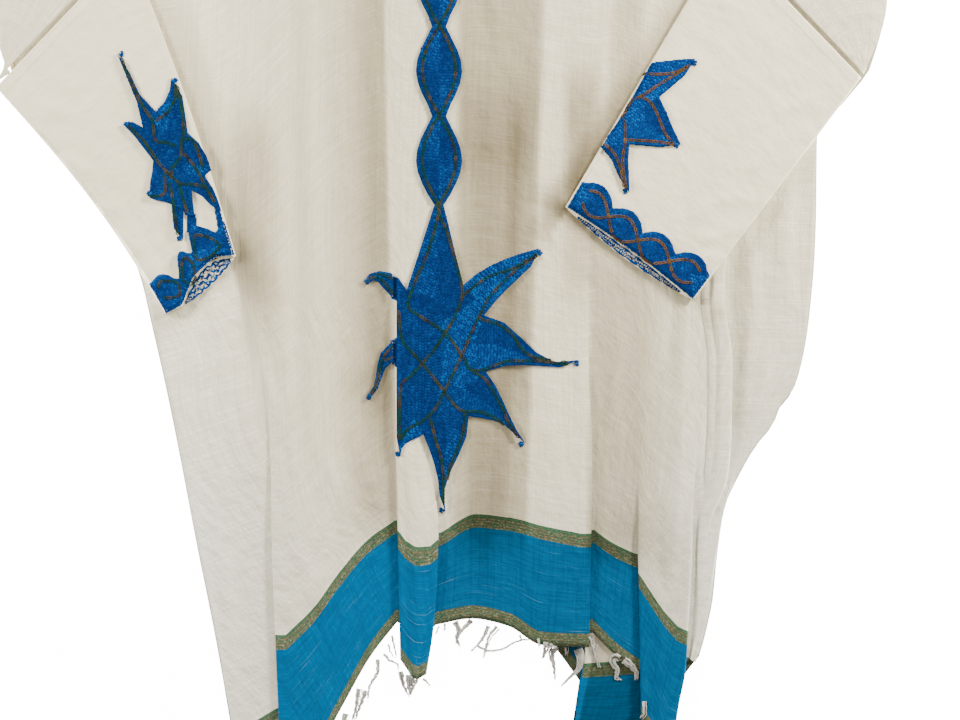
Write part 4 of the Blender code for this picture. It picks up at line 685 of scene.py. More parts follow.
def grid_mesh(name, points, cloth=None, ring=False):
    """Mesh of a grid of (x, drop, height), with a cloth attribute of across and along in cm."""
    rows, width = points.shape[:2]
    world = np.stack([points[..., 0] * CM, (NECK_TO_ORIGIN - points[..., 1]) * CM, points[..., 2] * MM], -1)
    index = np.arange(rows * width).reshape(rows, width)
    nxt = np.roll(index, -1, axis=1) if ring else index[:, 1:]
    here = index if ring else index[:, :-1]
    faces = np.stack([here[:-1], here[1:], nxt[1:], nxt[:-1]], -1).reshape(-1, 4)
    mesh = bpy.data.meshes.new(name)
    mesh.from_pydata(world.reshape(-1, 3).tolist(), [], faces.tolist())
    mesh.shade_smooth()
    if cloth is not None:
        layer = mesh.attributes.new("cloth", "FLOAT_VECTOR", "POINT")
        layer.data.foreach_set("vector", cloth[..., :3].reshape(-1).astype(np.float32))
        layer = mesh.attributes.new("tone", "FLOAT", "POINT")
        layer.data.foreach_set("value", cloth[..., 3].reshape(-1).astype(np.float32))
    return mesh


def add_piece(name, mesh, material):
    thing = bpy.data.objects.new(name, mesh)
    bpy.context.scene.collection.objects.link(thing)
    thing.data.materials.append(material)
    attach(thing, "root")
    return thing


def thicken(thing, thickness, offset=0.0):
    wall = thing.modifiers.new("wall", "SOLIDIFY")
    wall.thickness = thickness * MM
    wall.offset = offset
    return thing


class Ground:
    """Height in mm of the highest of some pieces below a plan place."""

    def __init__(self, things, floor=0.0):
        bpy.context.view_layer.update()
        graph = bpy.context.evaluated_depsgraph_get()
        self.trees = [BVHTree.FromObject(thing, graph) for thing in things]
        self.floor = floor

    def hit(self, x, drop):
        """Height and normal of the surface at a plan place, or the floor."""
        start = place(x, drop, 200)
        best, normal = self.floor, Vector((0, 0, 1))
        for tree in self.trees:
            found, turned, _, _ = tree.ray_cast(start, Vector((0, 0, -1)))
            if found is not None and found.z / MM > best:
                best, normal = found.z / MM, turned
        return best, normal

    def height(self, x, drop):
        return self.hit(x, drop)[0]

    def highest(self, x, drop, spread):
        best = self.height(x, drop)
        for reach in (0.5, 1.0):
            for turn in range(8):
                angle = turn * math.pi / 4
                best = max(best, self.height(x + math.cos(angle) * spread * reach,
                                             drop + math.sin(angle) * spread * reach))
        return best


# Outlines, shared with the part's source

def polar(centre, angle, reach):
    turn = math.radians(angle)
    return centre[0] + math.cos(turn) * reach, centre[1] - math.sin(turn) * reach


def bent(start, end, bulges, count):
    """Points after start up to end, bulging to the left of the run near its start and its end."""
    dx, dd = end[0] - start[0], end[1] - start[1]
    points = []
    for k in range(1, count + 1):
        t = k / count
        away = 3 * t * (1 - t) * (bulges[0] * (1 - t) + bulges[1] * t)
        points.append((start[0] + dx * t + dd * away, start[1] + dd * t - dx * away))
    return points


def ray_edges(before, tip, after, ray, count):
    """Edge points of one ray after its first root: out to a narrow tip and back to the next root."""
    middle = ((before[0] + after[0]) / 2, (before[1] + after[1]) / 2)
    length = math.dist(middle, tip)
    nx = -(tip[1] - middle[1]) / length * RAY_TIP_HALF_WIDTH
    nd = (tip[0] - middle[0]) / length * RAY_TIP_HALF_WIDTH
    out = bent(before, (tip[0] - nx, tip[1] - nd), ray["out"], count)
    return out + bent((tip[0] + nx, tip[1] + nd), after, ray["back"], count)


def front_outline():
    """Outline of the column of pointed ovals and the star, clockwise from the neck."""
    head = COLUMN_FOOT - LENS_LENGTH * LENS_COUNT + 4.0
    right = []
    drop = head
    while drop < COLUMN_FOOT - 0.1:
        phase = (COLUMN_FOOT - drop) / LENS_LENGTH
        wide = abs(math.sin(math.pi * phase)) ** 1.2
        right.append((mix(WAIST_HALF_WIDTH, LENS_HALF_WIDTH, wide), drop))
        drop += LENS_LENGTH / 8
    outline = [(COLUMN_X + half, drop) for half, drop in right]
    last = (COLUMN_X + WAIST_HALF_WIDTH * 0.7, COLUMN_FOOT)
    outline.append(last)
    for i, ray in enumerate(STAR_RAYS):
        root = polar(STAR_CENTRE, ray["root"], ray["depth"])
        if i == 0:
            outline += bent(last, root, ray["out"], 4)
        else:
            tip = polar(STAR_CENTRE, ray["tip"], ray["reach"])
            outline += ray_edges(last, tip, root, ray, 5)
        last = root
    while outline[-1][1] < STAR_LEFT_SIDE[0][1] + 6:
        outline.pop()
    outline += STAR_LEFT_SIDE
    outline += bent(STAR_LEFT_SIDE[-1], (COLUMN_X - WAIST_HALF_WIDTH * 0.7, COLUMN_FOOT), (0.0, 0.0), 4)
    outline += [(COLUMN_X - half, drop) for half, drop in reversed(right)]
    return [(max(x, STAR_LEFT_LIMIT), d) for x, d in outline]


def ray_outline(path):
    """A single bent ray through places with half widths, cut upright at its root."""
    left, right = [], []
    for k, (x, drop, half) in enumerate(path):
        before, after = path[max(k - 1, 0)], path[min(k + 1, len(path) - 1)]
        length = math.dist(before[:2], after[:2])
        nx, nd = -(after[1] - before[1]) / length, (after[0] - before[0]) / length
        if k == 0:
            nx, nd = 0.0, -1.0
        left.append((x + nx * half, drop + nd * half))
        right.append((x - nx * half, drop - nd * half))
    return left + list(reversed(right))


def star_outline(data):
    """A star of tips and roots, closed along its sleeve's fold line if it has an edge there."""
    outline = [data["start"]]
    before = data["start"]
    for ray in data["rays"]:
        outline += ray_edges(before, ray["tip"], ray["root"], ray, 3)
        before = ray["root"]
    if math.dist(outline[-1], outline[0]) < 0.01:
        outline.pop()
    return outline + data["edge"]


def over_fold(data, dx, dd):
    """A star with the side it is cut at moved out to its sleeve's fold, for the stitches alone."""
    def moved(spot):
        return spot[0] + dx, spot[1] + dd

    last = data["rays"][-1]
    rays = data["rays"][:-1] + [{**last, "root": moved(last["root"])}]
    return {"start": moved(data["start"]), "rays": rays, "edge": [moved(spot) for spot in data["edge"]]}


def along(points, share):
    at = share * (len(points) - 1)
    return (eased([(i, p[0]) for i, p in enumerate(points)], at),
            eased([(i, p[1]) for i, p in enumerate(points)], at))


def lower_plan(side, share, count):
    data = SLEEVES[side]
    inner = [mix(a, b, share) for a, b in zip(data["inner_seam"], data["inner_cuff"])]
    outer = [mix(a, b, share) for a, b in zip(data["outer_seam"], data["outer_cuff"])]
    if side == "left":
        outer[0] += LEFT_OUTER_BOW * math.sin(math.pi * share)
        inner[0] += LEFT_INNER_BOW * math.sin(math.pi * share)
    dx, dd = outer[0] - inner[0], outer[1] - inner[1]
    length = math.hypot(dx, dd)
    plan = []
    for k in range(count):
        q = k / (count - 1)
        bow = data["cuff_bow"] * math.sin(math.pi * q) * step(0.7, 1.0, share) * (1 if side == "right" else -1)
        plan.append((inner[0] + dx * q - dd / length * bow, inner[1] + dd * q + dx / length * bow))
    return plan


def pulled_back(side, q):
    """Share of the way to the ring before that a cuff's top layer is drawn back, across the cuff."""
    data = SLEEVES[side]
    return data["pull"] * math.sin(math.pi * min(q / data["pull_end"], 1.0))


def cuff_place(side, q, reach):
    """Plan place on a cuff's top layer: across it from its inner edge, and cm up from its end."""
    inset = 0.03 + 0.94 * q
    at = along(lower_plan(side, 1, 25), inset)
    up = along(lower_plan(side, 0.9, 25), inset)
    length = math.dist(at, up)
    return at[0] + (up[0] - at[0]) / length * reach, at[1] + (up[1] - at[1]) / length * reach


def cuff_outline(side, inset=CUFF_EDGE_INSET, over=0.0):
    """Scalloped border along a cuff, from the drawn back end of its top layer to its profile."""
    low, high = [], []
    for k in range(25):
        q = mix(-over, 1 + over, k / 24)
        tenth = math.dist(lower_plan(side, 1, 3)[1], lower_plan(side, 0.9, 3)[1])
        back = pulled_back(side, 0.03 + 0.94 * q) * tenth
        low.append(cuff_place(side, q, back + inset))
        high.append(cuff_place(side, q, eased(CUFF_PROFILES[side], min(max(q, 0.0), 1.0))))
    return low + list(reversed(high))


# Materials

class Nodes:
    """Short calls for building one material's nodes."""

    def __init__(self, name):
        self.material = bpy.data.materials.new(name)
        self.material.use_nodes = True
        self.tree = self.material.node_tree
        self.shader = self.tree.nodes["Principled BSDF"]

    def add(self, kind, **values):
        node = self.tree.nodes.new("ShaderNode" + kind)
        for key, value in values.items():
            if hasattr(node, key):
                setattr(node, key, value)
            else:
                self.put(node.inputs[key.replace("_", " ")], value)
        return node

    def put(self, socket, value):
        if isinstance(value, bpy.types.NodeSocket):
            self.tree.links.new(value, socket)
        else:
            socket.default_value = value

    def math(self, operation, a, b=0.0, c=0.0):
        node = self.add("Math", operation=operation)
        for socket, value in zip(node.inputs, (a, b, c)):
            self.put(socket, value)
        return node.outputs[0]

    def blend(self, share, a, b, mode="MIX"):
        node = self.add("Mix", data_type="RGBA", blend_type=mode)
        self.put(node.inputs[0], share)
        self.put(node.inputs[6], a)
        self.put(node.inputs[7], b)
        return node.outputs[2]

    def ramp(self, value, stops):
        node = self.add("ValToRGB")
        while len(node.color_ramp.elements) < len(stops):
            node.color_ramp.elements.new(0.5)
        for element, (position, colour) in zip(node.color_ramp.elements, stops):
            element.position = position
            element.color = (*colour, 1)
        self.put(node.inputs[0], value)
        return node.outputs[0]

    def noise(self, vector, scale, detail=3.0, roughness=0.5):
        node = self.add("TexNoise")
        self.put(node.inputs["Vector"], vector)
        self.put(node.inputs["Scale"], scale)
        self.put(node.inputs["Detail"], detail)
        self.put(node.inputs["Roughness"], roughness)
        return node.outputs[0]

    def stretch(self, vector, x, y, z=1.0):
        node = self.add("Mapping")
        self.put(node.inputs["Vector"], vector)
        node.inputs["Scale"].default_value = (x, y, z)
        return node.outputs[0]

    def attribute(self, name):
        return self.add("Attribute", attribute_name=name)

    def bump(self, height, strength, distance, onto=None):
        node = self.add("Bump")
        self.put(node.inputs["Height"], height)
        node.inputs["Strength"].default_value = strength
        node.inputs["Distance"].default_value = distance
        if onto is not None:
            self.put(node.inputs["Normal"], onto)
        return node.outputs[0]

    def finish(self, colour, roughness, normal=None, sheen=0.0, **values):
        self.put(self.shader.inputs["Base Color"], colour)
        self.put(self.shader.inputs["Roughness"], roughness)
        self.shader.inputs["Sheen Weight"].default_value = sheen
        self.shader.inputs["Sheen Roughness"].default_value = 0.5
        for key, value in values.items():
            self.shader.inputs[key.replace("_", " ")].default_value = value
        if normal is not None:
            self.put(self.shader.inputs["Normal"], normal)
        return self.material


def weave(n, vector, pitch):
    """Plain weave height: two crossed sets of threads, from cloth coordinates in cm."""
    parts = n.add("SeparateXYZ")
    n.put(parts.inputs[0], vector)
    turn = 2 * math.pi / pitch
    warp = n.math("SINE", n.math("MULTIPLY", parts.outputs[0], turn))
    weft = n.math("SINE", n.math("MULTIPLY", parts.outputs[1], turn))
    return n.math("MULTIPLY", n.math("ADD", n.math("MULTIPLY", warp, weft), 1.0), 0.5)


def slubs(n, vector):
    """Streaks of thicker weft threads across the cloth and fainter ones down it."""
    across = n.noise(n.stretch(vector, 0.16, 5.0), 1.0, 4.0, 0.6)
    down = n.noise(n.stretch(vector, 4.2, 0.09), 1.0, 3.0, 0.55)
    fine = n.noise(n.stretch(vector, 0.5, 11.0), 1.0, 2.0, 0.6)
    return across, down, fine


def gauze_material(name, border):
    """Off-white gauze; with a border it turns at the hem into trims round a blue field."""
    n = Nodes(name)
    cloth = n.attribute("cloth").outputs["Vector"]
    parts = n.add("SeparateXYZ")
    n.put(parts.inputs[0], cloth)
    down_cloth, warm = parts.outputs[1], parts.outputs[2]
    tone = n.attribute("tone").outputs["Fac"]
    across, down, fine = slubs(n, cloth)
    light = n.blend(warm, (0.69, 0.69, 0.64, 1), (0.77, 0.70, 0.50, 1))
    colour = n.blend(n.ramp(across, [(0.46, (0, 0, 0)), (0.72, (1, 1, 1))]), light, (0.92, 0.88, 0.76, 1))
    colour = n.blend(n.math("MULTIPLY", n.ramp(down, [(0.44, (0, 0, 0)), (0.70, (1, 1, 1))]), 0.45), colour,
                     (0.56, 0.50, 0.385, 1))
    patches = n.noise(n.stretch(cloth, 0.06, 0.04), 1.0, 2.0)
    colour = n.blend(n.math("MULTIPLY", patches, 0.25), colour, (0.72, 0.64, 0.47, 1))
    if border:
        colour = border_colour(n, cloth, down_cloth, across, fine, down, colour)
    colour = darkened(n, colour, tone)
    height = n.math("ADD", n.math("MULTIPLY", weave(n, cloth, 0.14), 0.5),
                    n.math("ADD", n.math("MULTIPLY", across, 1.1), n.math("MULTIPLY", down, 0.5)))
    normal = n.bump(height, 0.35, 0.0006)
    crumple = n.noise(n.stretch(cloth, 0.55, 0.35), 1.0, 4.0, 0.55)
    normal = n.bump(crumple, 0.6, 0.0055, normal)
    return n.finish(colour, 0.95, normal, Specular_IOR_Level=0.05)


def darkened(n, colour, tone):
    """Colour times a tone, which turns slightly warmer as it darkens."""
    grey = n.add("CombineColor")
    for socket, power in zip(grey.inputs, TONE_POWERS):
        n.put(socket, n.math("POWER", tone, power))
    return n.blend(1.0, colour, grey.outputs[0], "MULTIPLY")


def border_colour(n, cloth, down_cloth, across, fine, down, gauze):
    """Colours of the woven border from the distance down the cloth."""
    streak = n.ramp(n.noise(n.stretch(cloth, 0.25, 7.0), 1.0, 4.0, 0.65),
                    [(0.35, (0, 0, 0)), (0.75, (1, 1, 1))])
    blue = n.blend(streak, (0.0, 0.076, 0.195, 1), (0.0, 0.122, 0.31, 1))
    pale = n.math("MULTIPLY", n.ramp(fine, [(0.60, (0, 0, 0)), (0.78, (1, 1, 1))]), 0.35)
    blue = n.blend(pale, blue, (0.03, 0.24, 0.42, 1))
    slub = n.noise(n.stretch(cloth, 0.16, 9.0), 1.0, 3.0, 0.5)
    blue = n.blend(n.math("MULTIPLY", n.ramp(slub, [(0.66, (0, 0, 0)), (0.76, (1, 1, 1))]), 0.35), blue,
                   (0.30, 0.46, 0.52, 1))
    shade = n.math("MULTIPLY", n.ramp(down, [(0.45, (0, 0, 0)), (0.75, (1, 1, 1))]), 0.45)
    blue = n.blend(shade, blue, (0.0, 0.052, 0.14, 1))
    speck = n.add("TexVoronoi")
    n.put(speck.inputs["Vector"], n.stretch(cloth, 5.2, 9.5))
    speck.inputs["Scale"].default_value = 1.0
    flecks = n.add("SeparateColor")
    n.put(flecks.inputs[0], speck.outputs["Color"])
    trim = n.ramp(flecks.outputs[0], [(0.0, (0.02, 0.10, 0.06)), (0.3, (0.09, 0.085, 0.05)),
                                      (0.55, (0.17, 0.13, 0.075)), (0.8, (0.04, 0.13, 0.08)),
                                      (1.0, (0.27, 0.23, 0.15))])
    rib = n.math("FRACT", n.math("MULTIPLY", down_cloth, 1 / TRIM_RIB))
    groove = n.math("MULTIPLY", n.math("LESS_THAN", rib, 0.3), 0.5)
    trim = n.blend(groove, trim, (0.02, 0.055, 0.035, 1))
    trim = n.blend(n.math("MULTIPLY", n.math("LESS_THAN", down_cloth, TRIM_RIB), 0.6),
                   trim, (0.025, 0.12, 0.065, 1))
    wobble = n.math("MULTIPLY", n.math("SUBTRACT", fine, 0.5), 0.12)
    place_down = n.math("ADD", down_cloth, wobble)
    in_border = n.math("GREATER_THAN", place_down, 0.0)
    below_top = n.math("GREATER_THAN", place_down, TRIM_DEPTH)
    above_low = n.math("LESS_THAN", place_down, BORDER_DEPTH - TRIM_DEPTH)
    in_field = n.math("MULTIPLY", below_top, above_low)
    band = n.blend(in_field, trim, blue)
    return n.blend(in_border, gauze, band)


def cotton_material():
    """Closely woven ivory cotton of the lower sleeves."""
    n = Nodes("sleeve_cotton")
    cloth = n.attribute("cloth").outputs["Vector"]
    across, down, fine = slubs(n, cloth)
    colour = n.blend(n.ramp(across, [(0.35, (0, 0, 0)), (0.75, (1, 1, 1))]), (0.87, 0.80, 0.58, 1),
                     (0.94, 0.90, 0.72, 1))
    cloud = n.noise(n.stretch(cloth, 0.09, 0.09), 1.0, 3.0)
    colour = n.blend(n.math("MULTIPLY", cloud, 0.5), colour, (0.77, 0.68, 0.48, 1))
    height = n.math("ADD", n.math("MULTIPLY", weave(n, cloth, 0.09), 0.4), n.math("MULTIPLY", fine, 0.6))
    normal = n.bump(height, 0.25, 0.0004)
    normal = n.bump(n.noise(n.stretch(cloth, 0.4, 0.5), 1.0, 4.0, 0.5), 0.6, 0.005, normal)
    return n.finish(colour, 0.92, normal, Specular_IOR_Level=0.06)


def yarn_material(name, stops, roughness=0.75):
    """Embroidery yarn whose colour runs along each stitch's own shade."""
    n = Nodes(name)
    shade = n.attribute("shade").outputs["Fac"]
    place_here = n.add("TexCoord").outputs["Object"]
    fuzz = n.noise(n.stretch(place_here, 1800, 1800, 1800), 1.0, 2.0)
    colour = n.ramp(shade, stops)
    colour = n.blend(n.math("MULTIPLY", fuzz, 0.22), colour, (*[c * 0.45 for c in stops[0][1]], 1))
    normal = n.bump(fuzz, 0.4, 0.0003)
    return n.finish(colour, roughness, normal, Specular_IOR_Level=0.08)


def pad_material():
    """Ground of the embroidery between the stitches."""
    n = Nodes("embroidery_ground")
    spot = n.add("TexCoord").outputs["Object"]
    mottle = n.noise(n.stretch(spot, 420, 420, 420), 1.0, 3.0)
    colour = n.blend(mottle, (0.0, 0.022, 0.12, 1), (0.0, 0.038, 0.18, 1))
    normal = n.bump(n.noise(n.stretch(spot, 700, 700, 700), 1.0, 2.0), 0.6, 0.0006)
    return n.finish(colour, 0.9, normal, Specular_IOR_Level=0.05)


def fringe_material():
    n = Nodes("fringe_yarn")
    spot = n.add("TexCoord").outputs["Object"]
    mottle = n.noise(n.stretch(spot, 160, 160, 160), 1.0, 3.0)
    colour = n.blend(mottle, (0.26, 0.255, 0.24, 1), (0.56, 0.55, 0.52, 1))
    normal = n.bump(n.noise(n.stretch(spot, 1500, 1500, 1500), 1.0, 2.0), 0.4, 0.0003)
    return n.finish(colour, 0.95, normal, Specular_IOR_Level=0.05)


# Cloth pieces

def tone_of(points):
    """How light the cloth is: 1 by itself, less where cloth lies double or folds show through."""
    x, drop = points[..., 0], points[..., 1]
    tone = 1.0 + 0.045 * np.clip((-x - 19.0) / 8.0, 0, 1)
    for band in TONE_BANDS:
        share = np.clip((drop - band["drops"][0]) / (band["drops"][1] - band["drops"][0]), 0, 1)
        left = mix(*band["left"], share)
        right = mix(*band["right"], share)
        inside_band = (np.clip((x - left) / band["soft"][0] + 0.5, 0, 1)
                       * np.clip((right - x) / band["soft"][1] + 0.5, 0, 1))
        fade = (np.clip((drop - band["drops"][0]) / 6 + 0.5, 0, 1)
                * np.clip((band["drops"][1] - drop) / 5 + 0.5, 0, 1))
        tone = tone - mix(*band["depth"], share) * inside_band * fade
    return tone


def warmth_of(points):
    """Warm in the middle and high up, cooler at the sides and low down."""
    x, drop = points[..., 0], points[..., 1]
    warm = 1.0 - 0.7 * np.clip((np.abs(x - 2.0) - 12.0) / 18.0, 0, 1) * np.clip((drop - 70.0) / 30.0, 0, 1)
    return np.clip(warm - 0.35 * np.clip((drop - 96.0) / 12.0, 0, 1), 0, 1)


def make_front(material):
    front = Front()
    points, down_cloth = front.grid()
    points = crease(points, FRONT_CREASES)
    points[..., 2] = np.maximum(points[..., 2], SEAM_HEIGHT - 0.05)
    cloth = np.stack([across_cloth(points), down_cloth, warmth_of(points), tone_of(points)], -1)
    thing = add_piece("front_cloth", grid_mesh("front_cloth", points, cloth), material)
    turn_up(thing)
    thicken(thing, SHELL)
    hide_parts("front_panel")
    return thing


def turn_up(thing):
    """Turns the faces so that most of the sheet faces up."""
    mesh = thing.data
    if sum(face.normal.z * face.area for face in mesh.polygons) < 0:
        mesh.flip_normals()


def back_bounds(drop):
    """Left edge, the line that the visible inner fold follows, and right edge of the back."""
    lip = BACK_LIP if drop > ARMHOLE_END else 0.0
    left = eased(LEFT_SEAM, max(drop, LEFT_SEAM[0][0])) - lip
    right = eased(RIGHT_SEAM, max(drop, RIGHT_SEAM[0][0])) + lip
    if drop > RIGHT_SEAM[-1][0]:
        right = eased([(RIGHT_SEAM[-1][0], right)] + [(d, x) for x, d in reversed(BACK_RIGHT_FOOT)]
                      + [(BACK_HEM[-1][1], BACK_HEM[-1][0])], drop)
    return left, eased(BACK_SPLIT, drop), right


def back_column(share, group):
    """x at a drop for a column of the back left or right of the inner fold's line."""
    def at(drop):
        bounds = back_bounds(drop)
        return mix(bounds[group], bounds[group + 1], share)
    return at


def back_foot(at, hem):
    """Drop where a column meets the hem."""
    low, high = 100.0, 140.0
    for _ in range(24):
        middle = (low + high) / 2
        if middle < eased(hem, at(middle)):
            low = middle
        else:
            high = middle
    return low


def back_grid():
    """The back from seam to seam, each column down to its own place on the hem."""
    left_hem = [(x, drop) for x, drop in BACK_HEM[:8]]
    right_hem = [(x, drop) for x, drop in BACK_HEM[9:]]
    lines, cloth = [], []
    for group, columns in enumerate(BACK_COLUMNS):
        for c in range(columns + 1):
            at = back_column(c / columns, group)
            foot = back_foot(at, left_hem if group == 0 else right_hem)
            border = foot - BORDER_DEPTH if group == 0 else mix(*BACK_BORDER, c / columns)
            top = 0.0
            for _ in range(6):
                top = top_drop(at(top), BACK_NECK_DEPTH)
            drops = [mix(top, foot, r / BACK_ROWS) for r in range(BACK_ROWS + 1)]
            lines.append([(at(drop), drop, WALL / 2) for drop in drops])
            cloth.append([drop - border if drop < border else (drop - border) / (foot - border) * BORDER_DEPTH
                          for drop in drops])
    return np.array(lines).transpose(1, 0, 2), np.array(cloth).T


def make_back(material):
    points, down_cloth = back_grid()
    shaded = np.full(down_cloth.shape, BACK_TONE)
    shaded[:, BACK_COLUMNS[0] + 1:BACK_COLUMNS[0] + 4] = 1.0
    cloth = np.stack([across_cloth(points), down_cloth, warmth_of(points), shaded], -1)
    thing = add_piece("back_cloth", grid_mesh("back_cloth", points, cloth), material)
    turn_up(thing)
    thicken(thing, WALL)
    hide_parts("back_panel")
    return thing


def sleeve_ring(plan, heights, loft, edge=0.35, edge_steps=5):
    """Flattened ring through plan points: bottom layer, round outer edge, top layer, round inner edge."""
    count = len(plan)
    width = math.dist(plan[0], plan[-1])
    bottom, top = [], []
    for k, (x, drop) in enumerate(plan):
        share = k / (count - 1)
        inward = min(max(share, edge / width), 1 - edge / width)
        px = mix(plan[0][0], plan[-1][0], inward) + (x - mix(plan[0][0], plan[-1][0], share))
        pd = mix(plan[0][1], plan[-1][1], inward) + (drop - mix(plan[0][1], plan[-1][1], share))
        bottom.append((px, pd, heights[k]))
        top.append((px, pd, heights[k] + loft))
    ring = list(bottom)
    for end, low, high in ((plan[-1], bottom[-1], top[-1]), (plan[0], top[0], bottom[0])):
        for s in range(1, edge_steps + 1):
            angle = math.pi * s / (edge_steps + 1)
            out = math.sin(angle)
            ring.append((mix(low[0], end[0], out), mix(low[1], end[1], out),
                         mix(low[2], high[2], (1 - math.cos(angle)) / 2)))
        if end == plan[-1]:
            ring += list(reversed(top))
    return ring


FINE_SLEEVE_COLUMNS = 56
EDGE_STEPS = 5


def coarse_heights(plan_coarse, ground):
    """Heights of a sleeve's bottom layer over the cloth below, as the part's source works them out."""
    heights = [ground.highest(*p, 1.6) + SLEEVE_CLEARANCE + WALL / 2 for p in plan_coarse]
    smooth = [max(heights[max(k - 1, 0):k + 2]) for k in range(len(heights))]
    return smooth


def fine_heights(plan, ground, count):
    smooth = coarse_heights(plan(SLEEVE_COLUMNS), ground)
    curve = [(k / (SLEEVE_COLUMNS - 1), h) for k, h in enumerate(smooth)]
    return [eased(curve, k / (count - 1)) for k in range(count)]


def sleeve_cloth(rings):
    """Cloth coordinates of a tube: round it and along it, with a warm tone."""
    points = np.array(rings)
    closed = np.concatenate([points, points[:, :1]], axis=1)
    across = across_cloth(closed)[:, :-1]
    middle = points.mean(axis=1)
    steps = np.sqrt((np.diff(middle, axis=0)[:, :2] ** 2).sum(-1))
    down = np.concatenate([[0], np.cumsum(steps)])
    return points, np.stack([across, np.repeat(down[:, None], points.shape[1], 1),
                             np.full(across.shape, 0.85), np.ones(across.shape)], -1)


def make_lower_sleeve(side, ground, material, coarse_rings=12, split=5):
    data = SLEEVES[side]
    known = []
    for r in range(coarse_rings + 1):
        share = mix(0.012, 1, r / coarse_rings)
        known.append(fine_heights(lambda count, s=share: lower_plan(side, s, count),
                                  ground, FINE_SLEEVE_COLUMNS))
    rings = []
    last = coarse_rings * split
    for r in range(last + 1):
        share = mix(0.012, 1, r / last)
        base, part = divmod(r, split)
        heights = known[-1] if base >= coarse_rings else [
            mix(a, b, part / split) for a, b in zip(known[base], known[base + 1])]
        ring = sleeve_ring(lower_plan(side, share, FINE_SLEEVE_COLUMNS), heights, SLEEVE_LOFT)
        first_top = FINE_SLEEVE_COLUMNS + EDGE_STEPS
        done = []
        for k, (x, drop, height) in enumerate(ring):
            if first_top <= k < first_top + FINE_SLEEVE_COLUMNS:
                q = 1 - (k - first_top) / (FINE_SLEEVE_COLUMNS - 1)
                wave = data["crumple"] * step(0.45, 1, share)
                height += max(0.0, wave * math.sin(5 * math.pi * q) + wave * 0.3)
                if share > 0.93:
                    pull = pulled_back(side, q) * step(0.92, 1, share)
                    toward = lower_plan(side, 0.9, 2)
                    x += (mix(toward[0][0], toward[1][0], q) - x) * pull
                    drop += (mix(toward[0][1], toward[1][1], q) - drop) * pull
            done.append((x, drop, height))
        rings.append(done)
    points, cloth = sleeve_cloth(rings)
    tops = slice(FINE_SLEEVE_COLUMNS + EDGE_STEPS, 2 * FINE_SLEEVE_COLUMNS + EDGE_STEPS)
    points[:, tops] = crease(points[:, tops].copy(), SLEEVE_CREASES[side])
    name = side + "_lower_cloth"
    thing = add_piece(name, grid_mesh(name, points, cloth, ring=True), material)
    outward_normals(thing)
    thicken(thing, SHELL)
    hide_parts(side + "_lower_sleeve")
    return thing


def make_upper_sleeve(side, ground, material, coarse_rings=6, split=8):
    armhole = SLEEVES[side]["armhole"]
    outward = 1 if side == "right" else -1

    def plan_at(share, count):
        seam = lower_plan(side, -0.004, count)
        plan = []
        for k in range(count):
            q = k / (count - 1)
            start = along(armhole, q)
            start = (start[0] - outward * 0.45, start[1] + 0.3 * (1 - q))
            plan.append((mix(start[0], seam[k][0], share), mix(start[1], seam[k][1], share)))
        return plan

    known = [fine_heights(lambda count, s=r / coarse_rings: plan_at(s, count), ground, FINE_SLEEVE_COLUMNS)
             for r in range(coarse_rings + 1)]
    rings = []
    last = coarse_rings * split
    for r in range(last + 1):
        base, part = divmod(r, split)
        heights = known[-1] if base >= coarse_rings else [
            mix(a, b, part / split) for a, b in zip(known[base], known[base + 1])]
        ring = sleeve_ring(plan_at(r / last, FINE_SLEEVE_COLUMNS), heights, SLEEVE_LOFT)
        turned = []
        bend = 1 - step(0, 1 / coarse_rings, r / last)
        first_top = FINE_SLEEVE_COLUMNS + EDGE_STEPS
        for k, (x, drop, height) in enumerate(ring):
            if first_top <= k < first_top + FINE_SLEEVE_COLUMNS:
                q = min(k - first_top, first_top + FINE_SLEEVE_COLUMNS - 1 - k) / (FINE_SLEEVE_COLUMNS / 6)
                x += outward * 0.3 * min(q, 1) * bend
                height -= 1.2 * min(q, 1) * bend
            turned.append((x, drop, height))
        rings.append(turned)
    points, cloth = sleeve_cloth(rings)
    tops = slice(FINE_SLEEVE_COLUMNS + EDGE_STEPS, 2 * FINE_SLEEVE_COLUMNS + EDGE_STEPS)
    points[:, tops] = crease(points[:, tops].copy(), SLEEVE_CREASES[side])
    name = side + "_upper_cloth"
    thing = add_piece(name, grid_mesh(name, points, cloth, ring=True), material)
    outward_normals(thing)
    thicken(thing, SHELL)
    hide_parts(side + "_upper_sleeve")
    return thing


def outward_normals(thing):
    """Turns a flattened tube's faces out, judged by its highest face."""
    mesh = thing.data
    highest = max(mesh.polygons, key=lambda face: face.center.z)
    if highest.normal.z < 0:
        mesh.flip_normals()


# Stitches

def stamp(name, shape, spots, material, smooth=True):
    """One mesh of many copies of a small shape. A spot is a place, a heading, a tilt and sizes."""
    verts, faces = shape
    verts = np.array(verts)
    all_verts, all_faces, shades = [], [], []
    for spot in spots:
        heading, normal = spot["heading"], spot["normal"]
        forward = Vector((math.cos(heading), math.sin(heading), 0))
        forward = (forward - normal * forward.dot(normal)).normalized()
        side = normal.cross(forward)
        frame_of = np.array([forward[:], side[:], normal[:]])
        sized = verts * np.array([spot["length"], spot["width"], spot["height"]])
        all_verts.append(sized @ frame_of + np.array(spot["at"][:]))
        shades.append(np.full(len(verts), spot["shade"]))
    count = len(verts)
    for i in range(len(spots)):
        all_faces += [tuple(v + i * count for v in face) for face in faces]
    mesh = bpy.data.meshes.new(name)
    mesh.from_pydata(np.concatenate(all_verts).tolist(), [], all_faces)
    if smooth:
        mesh.shade_smooth()
    layer = mesh.attributes.new("shade", "FLOAT", "POINT")
    layer.data.foreach_set("value", np.concatenate(shades).astype(np.float32))
    return add_piece(name, mesh, material)


